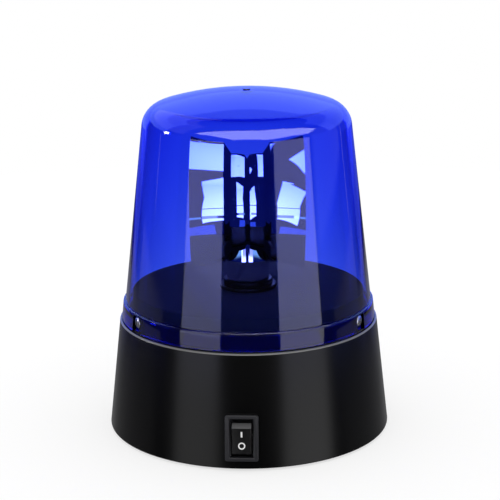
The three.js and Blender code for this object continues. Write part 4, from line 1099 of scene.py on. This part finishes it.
def makeRocker(sizes):
    half = switchSizes["rockerHalf"]
    (tipZ, tipOut), (endZ, endOut), (footZ, footOut) = sizes["tip"], sizes["end"], sizes["foot"]
    outline = [(-tipZ, tipOut), (-endZ, endOut), (-footZ, footOut), (footZ, footOut), (endZ, endOut),
               (tipZ, tipOut), (0, sizes["dip"])]
    piece = asObject("rockerBar", prism([(-half, -out, z) for z, out in outline], (2 * half, 0, 0)))
    bevelled(piece, sizes["edge"], angle=35)
    pin = rodMesh(sizes["pin"], -sizes["pinHalf"], sizes["pinHalf"])
    shaped(piece, joins=[moved(pin, Matrix.Rotation(math.pi / 2, 4, "Y"))])
    piece.data.transform(rockerPlace())
    finished(piece, "rocker", ["rocker"], look="rocker", sharp=40)


def facetPlace(sizes, side):
    # the frame of the upper (1) or lower (-1) face: X across, Y away from the dip, Z out of the face
    tipZ, tipOut = sizes["tip"]
    along = Vector((0, sizes["dip"] - tipOut, side * tipZ)).normalized()
    normal = Vector((0, -tipZ, side * (sizes["dip"] - tipOut))).normalized()
    turn = Matrix((along.cross(normal), along, normal)).transposed().to_4x4()
    return rockerPlace() @ Matrix.Translation((0, -sizes["dip"], 0)) @ turn


def makeMarks(sizes):
    # an I and an O, printed as thin plates
    low, high = -sizes["rise"], sizes["rise"]
    halfX, halfY = sizes["barHalf"]
    bar = boxMesh((-halfX, sizes["barMiddle"] - halfY, low), (halfX, sizes["barMiddle"] + halfY, high))
    piece = asObject("rockerMarks", moved(bar, facetPlace(sizes, 1)))
    outer = sizes["ringRadius"]
    inner = outer - sizes["stroke"]
    ring = spin([(inner, low), (outer, low), (outer, high), (inner, high)], sizes["ringSides"])
    ring = moved(ring, facetPlace(sizes, -1) @ Matrix.Translation((0, sizes["ringMiddle"], 0)))
    shaped(piece, joins=[ring])
    finished(piece, "rocker", look="mark", sharp=40, slot="white_plastic")


makeSwitch(switchSizes)
makeRocker(rockerSizes)
makeMarks(rockerSizes)
print("switch made")


# Screws and feet, grown in rings

# name: the nodes, head height, shank radius, tilt of the head from straight up
screwSets = {
    "lensScrews": (("lens_screw_1", "lens_screw_2", "lens_screw_3"), 1.2 * mm, 1.1 * mm, 90),
    "deckScrews": (("deck_screw_1", "deck_screw_2", "deck_screw_3"), 1.5 * mm, 1.2 * mm, 180),
    "gearScrews": (("gear_plate_screw_1", "gear_plate_screw_2", "gear_plate_screw_3"), 1.3 * mm, 1.1 * mm,
                   180),
    "plateScrews": (("bottom_screw_1", "bottom_screw_2", "bottom_screw_3"), 1.6 * mm, 1.3 * mm, 180),
    "motorScrews": (("motor_screw_1", "motor_screw_2"), 1 * mm, 0.9 * mm, 0),
}


def ringOf(tree, inputs, geometry):
    # copies of a shape on a level ring, each turned outwards and tilted
    line = addNode(tree, "GeometryNodeMeshLine", {"Count": inputs["Count"]})
    index = Number(tree, addNode(tree, "GeometryNodeInputIndex").outputs[0])
    angle = index * calc(tree, "DIVIDE", 2 * math.pi, inputs["Count"]) + inputs["First Angle"]
    across = calc(tree, "COSINE", angle) * inputs["Circle"] + inputs["Middle X"]
    deep = calc(tree, "SINE", angle) * inputs["Circle"] + inputs["Middle Y"]
    placed = reshaped(tree, line.outputs[0], vectorOf(tree, across, deep, inputs["Height"]))
    turn = vectorOf(tree, 0.0, inputs["Tilt"], angle)
    return addNode(tree, "GeometryNodeInstanceOnPoints",
                   {"Points": placed, "Instance": geometry, "Rotation": turn}).outputs[0]


ringInputs = (("Count", 3), ("Circle", 0.05), ("Height", 0.05), ("First Angle", 0.0), ("Tilt", 0.0),
              ("Middle X", 0.0), ("Middle Y", 0.0))


def cylinder(tree, radius, depth, middle, sides, layers=1, rings=1):
    # an upright cylinder with its middle at this height
    node = addNode(tree, "GeometryNodeMeshCylinder", {
        "Vertices": sides, "Side Segments": layers, "Fill Segments": rings, "Radius": radius, "Depth": depth})
    return lifted(tree, node.outputs["Mesh"], middle)


screwShape = {
    "headSides": 48, "headLayers": 2, "headRings": 8, "shankSides": 24,
    # how far the dome falls at the head's edge, how steeply, and where it starts
    "fall": 0.5, "power": 3.0, "start": 0.4,
    # the length and width of the slots and the height of their middle, as shares of the head's sizes
    "slotLength": 1.15, "slotWidth": 0.26, "slotHeight": 0.92,
}


def makeScrewTree(shape):
    # a domed head with a cross slot over a plain shank
    tree, inputs = geometryTree("screwRing", ringInputs + (
        ("Head Radius", 0.0024), ("Head Height", 0.0012), ("Shank Radius", 0.0011), ("Shank Length", 0.008)))
    radius, height, length = inputs["Head Radius"], inputs["Head Height"], inputs["Shank Length"]
    head = cylinder(tree, radius, height, height * 0.5, shape["headSides"], shape["headLayers"],
                    shape["headRings"])
    x, y, z = pointAxes(tree)
    share = fromAxis(tree, x, y) / radius
    fall = calc(tree, "POWER", share, shape["power"]) * (height * -shape["fall"])
    upper = calc(tree, "GREATER_THAN", z, height * shape["start"])
    domed = reshaped(tree, head, vectorOf(tree, 0.0, 0.0, fall * (z * upper / height)), "Offset")
    cut = addNode(tree, "GeometryNodeMeshBoolean", operation="DIFFERENCE", solver="EXACT")
    feed(tree, domed, cut.inputs["Mesh 1"])
    slot = (shape["slotLength"], shape["slotWidth"])
    for wide, deep in (slot, slot[::-1]):
        size = vectorOf(tree, radius * wide, radius * deep, height)
        bar = addNode(tree, "GeometryNodeMeshCube", {"Size": size})
        feed(tree, lifted(tree, bar.outputs["Mesh"], height * shape["slotHeight"]), cut.inputs["Mesh 2"])
    shank = cylinder(tree, inputs["Shank Radius"], length, length * -0.5, shape["shankSides"])
    whole = addNode(tree, "GeometryNodeJoinGeometry")
    feed(tree, shank, whole.inputs[0])
    feed(tree, cut.outputs[0], whole.inputs[0])
    endTree(tree, inputs, ringOf(tree, inputs, whole.outputs[0]))
    return tree


def makeScrews(sets):
    tree = makeScrewTree(screwShape)
    for name, (nodes, headHeight, shankRadius, tilt) in sets.items():
        boxes = [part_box(node) for node in nodes]
        middles = [(low + high) / 2 for low, high in boxes]
        low, high = boxes[-1]
        middle = sum(middles, Vector()) / len(middles)
        off = middles[-1] - middle
        head = (high.x - low.x) / 2
        if tilt == 90:
            circle, height, length = high.y - headHeight, middles[-1].z, high.y - low.y - headHeight
        else:
            length = high.z - low.z - headHeight
            circle = math.hypot(off.x, off.y)
            height = high.z - headHeight if tilt == 0 else low.z + headHeight
        values = {
            "Count": len(nodes), "Circle": circle, "Height": height, "First Angle": math.atan2(off.y, off.x),
            "Tilt": math.radians(tilt), "Middle X": middle.x, "Middle Y": middle.y, "Head Radius": head,
            "Head Height": headHeight, "Shank Radius": shankRadius, "Shank Length": length,
        }
        piece = grown(name, tree, values, finishes["steel"])
        finished(piece, "base", nodes, sharp=40)


footShape = {"sides": 48, "layers": 16, "rings": 3, "rounding": 0.5 * mm, "firstAngle": 45}


def makeFootTree(shape):
    # rubber discs with a rounded underside
    tree, inputs = geometryTree("footRing", ringInputs + (
        ("Radius", 0.005), ("Thickness", 0.0022), ("Rounding", 0.0005)))
    radius, thick, rounding = inputs["Radius"], inputs["Thickness"], inputs["Rounding"]
    disc = cylinder(tree, radius, thick, thick * 0.5, shape["sides"], shape["layers"], shape["rings"])
    x, y, z = pointAxes(tree)
    deep = calc(tree, "MAXIMUM", rounding - z, 0.0)
    square = calc(tree, "MAXIMUM", rounding * rounding - deep * deep, 0.0)
    keep = 1.0 - (rounding - calc(tree, "SQRT", square)) / radius
    softened = reshaped(tree, disc, vectorOf(tree, x * keep, y * keep, z))
    endTree(tree, inputs, ringOf(tree, inputs, softened))
    return tree


def makeFeet(shape):
    nodes = ["foot_1", "foot_2", "foot_3", "foot_4"]
    low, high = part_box(nodes[0])
    middle = (low + high) / 2
    values = {
        "Count": len(nodes), "Circle": math.hypot(middle.x, middle.y), "Height": low.z,
        "First Angle": math.radians(shape["firstAngle"]), "Tilt": 0.0, "Middle X": 0.0, "Middle Y": 0.0,
        "Radius": (high.x - low.x) / 2, "Thickness": high.z - low.z, "Rounding": shape["rounding"],
    }
    piece = grown("feet", makeFootTree(shape), values, finishes["rubber"])
    finished(piece, "base", nodes)


makeScrews(screwSets)
makeFeet(footShape)
print("screws and feet made")


# LEDs: a flanged body with a round end, lying on the reflector's axis

ledSizes = {"radius": 2.5 * mm, "rim": 4.8 * mm, "rimThickness": 1 * mm, "sides": 64, "endSteps": 16}


def makeLed(node, sizes):
    low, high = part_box(node)
    near, far = sorted((abs(low.x), abs(high.x)))
    radius, rim, rimTop = sizes["radius"], sizes["rim"], sizes["rim"] + sizes["rimThickness"]
    flange = (high.z - low.z) / 2
    outline = rounded([
        (0, near, 0),
        (radius, near, crispEdge),
        (radius, rim, 0),
        (flange, rim, fineEdge),
        (flange, rimTop, fineEdge),
        (radius, rimTop, 0),
    ]) + arc((0, far - radius), radius, 0, 90, sizes["endSteps"])
    outline[-1] = (0, outline[-1][1])
    side = 1 if high.x > 0 else -1
    turn = Matrix.Translation((0, 0, (low.z + high.z) / 2)) @ Matrix.Rotation(side * math.pi / 2, 4, "Y")
    piece = asObject(node + "Lens", moved(spin(outline, sizes["sides"], closed=False), turn))
    finished(piece, "base", [node])


for ledNode in ("led_1", "led_2"):
    makeLed(ledNode, ledSizes)
print("LEDs made")
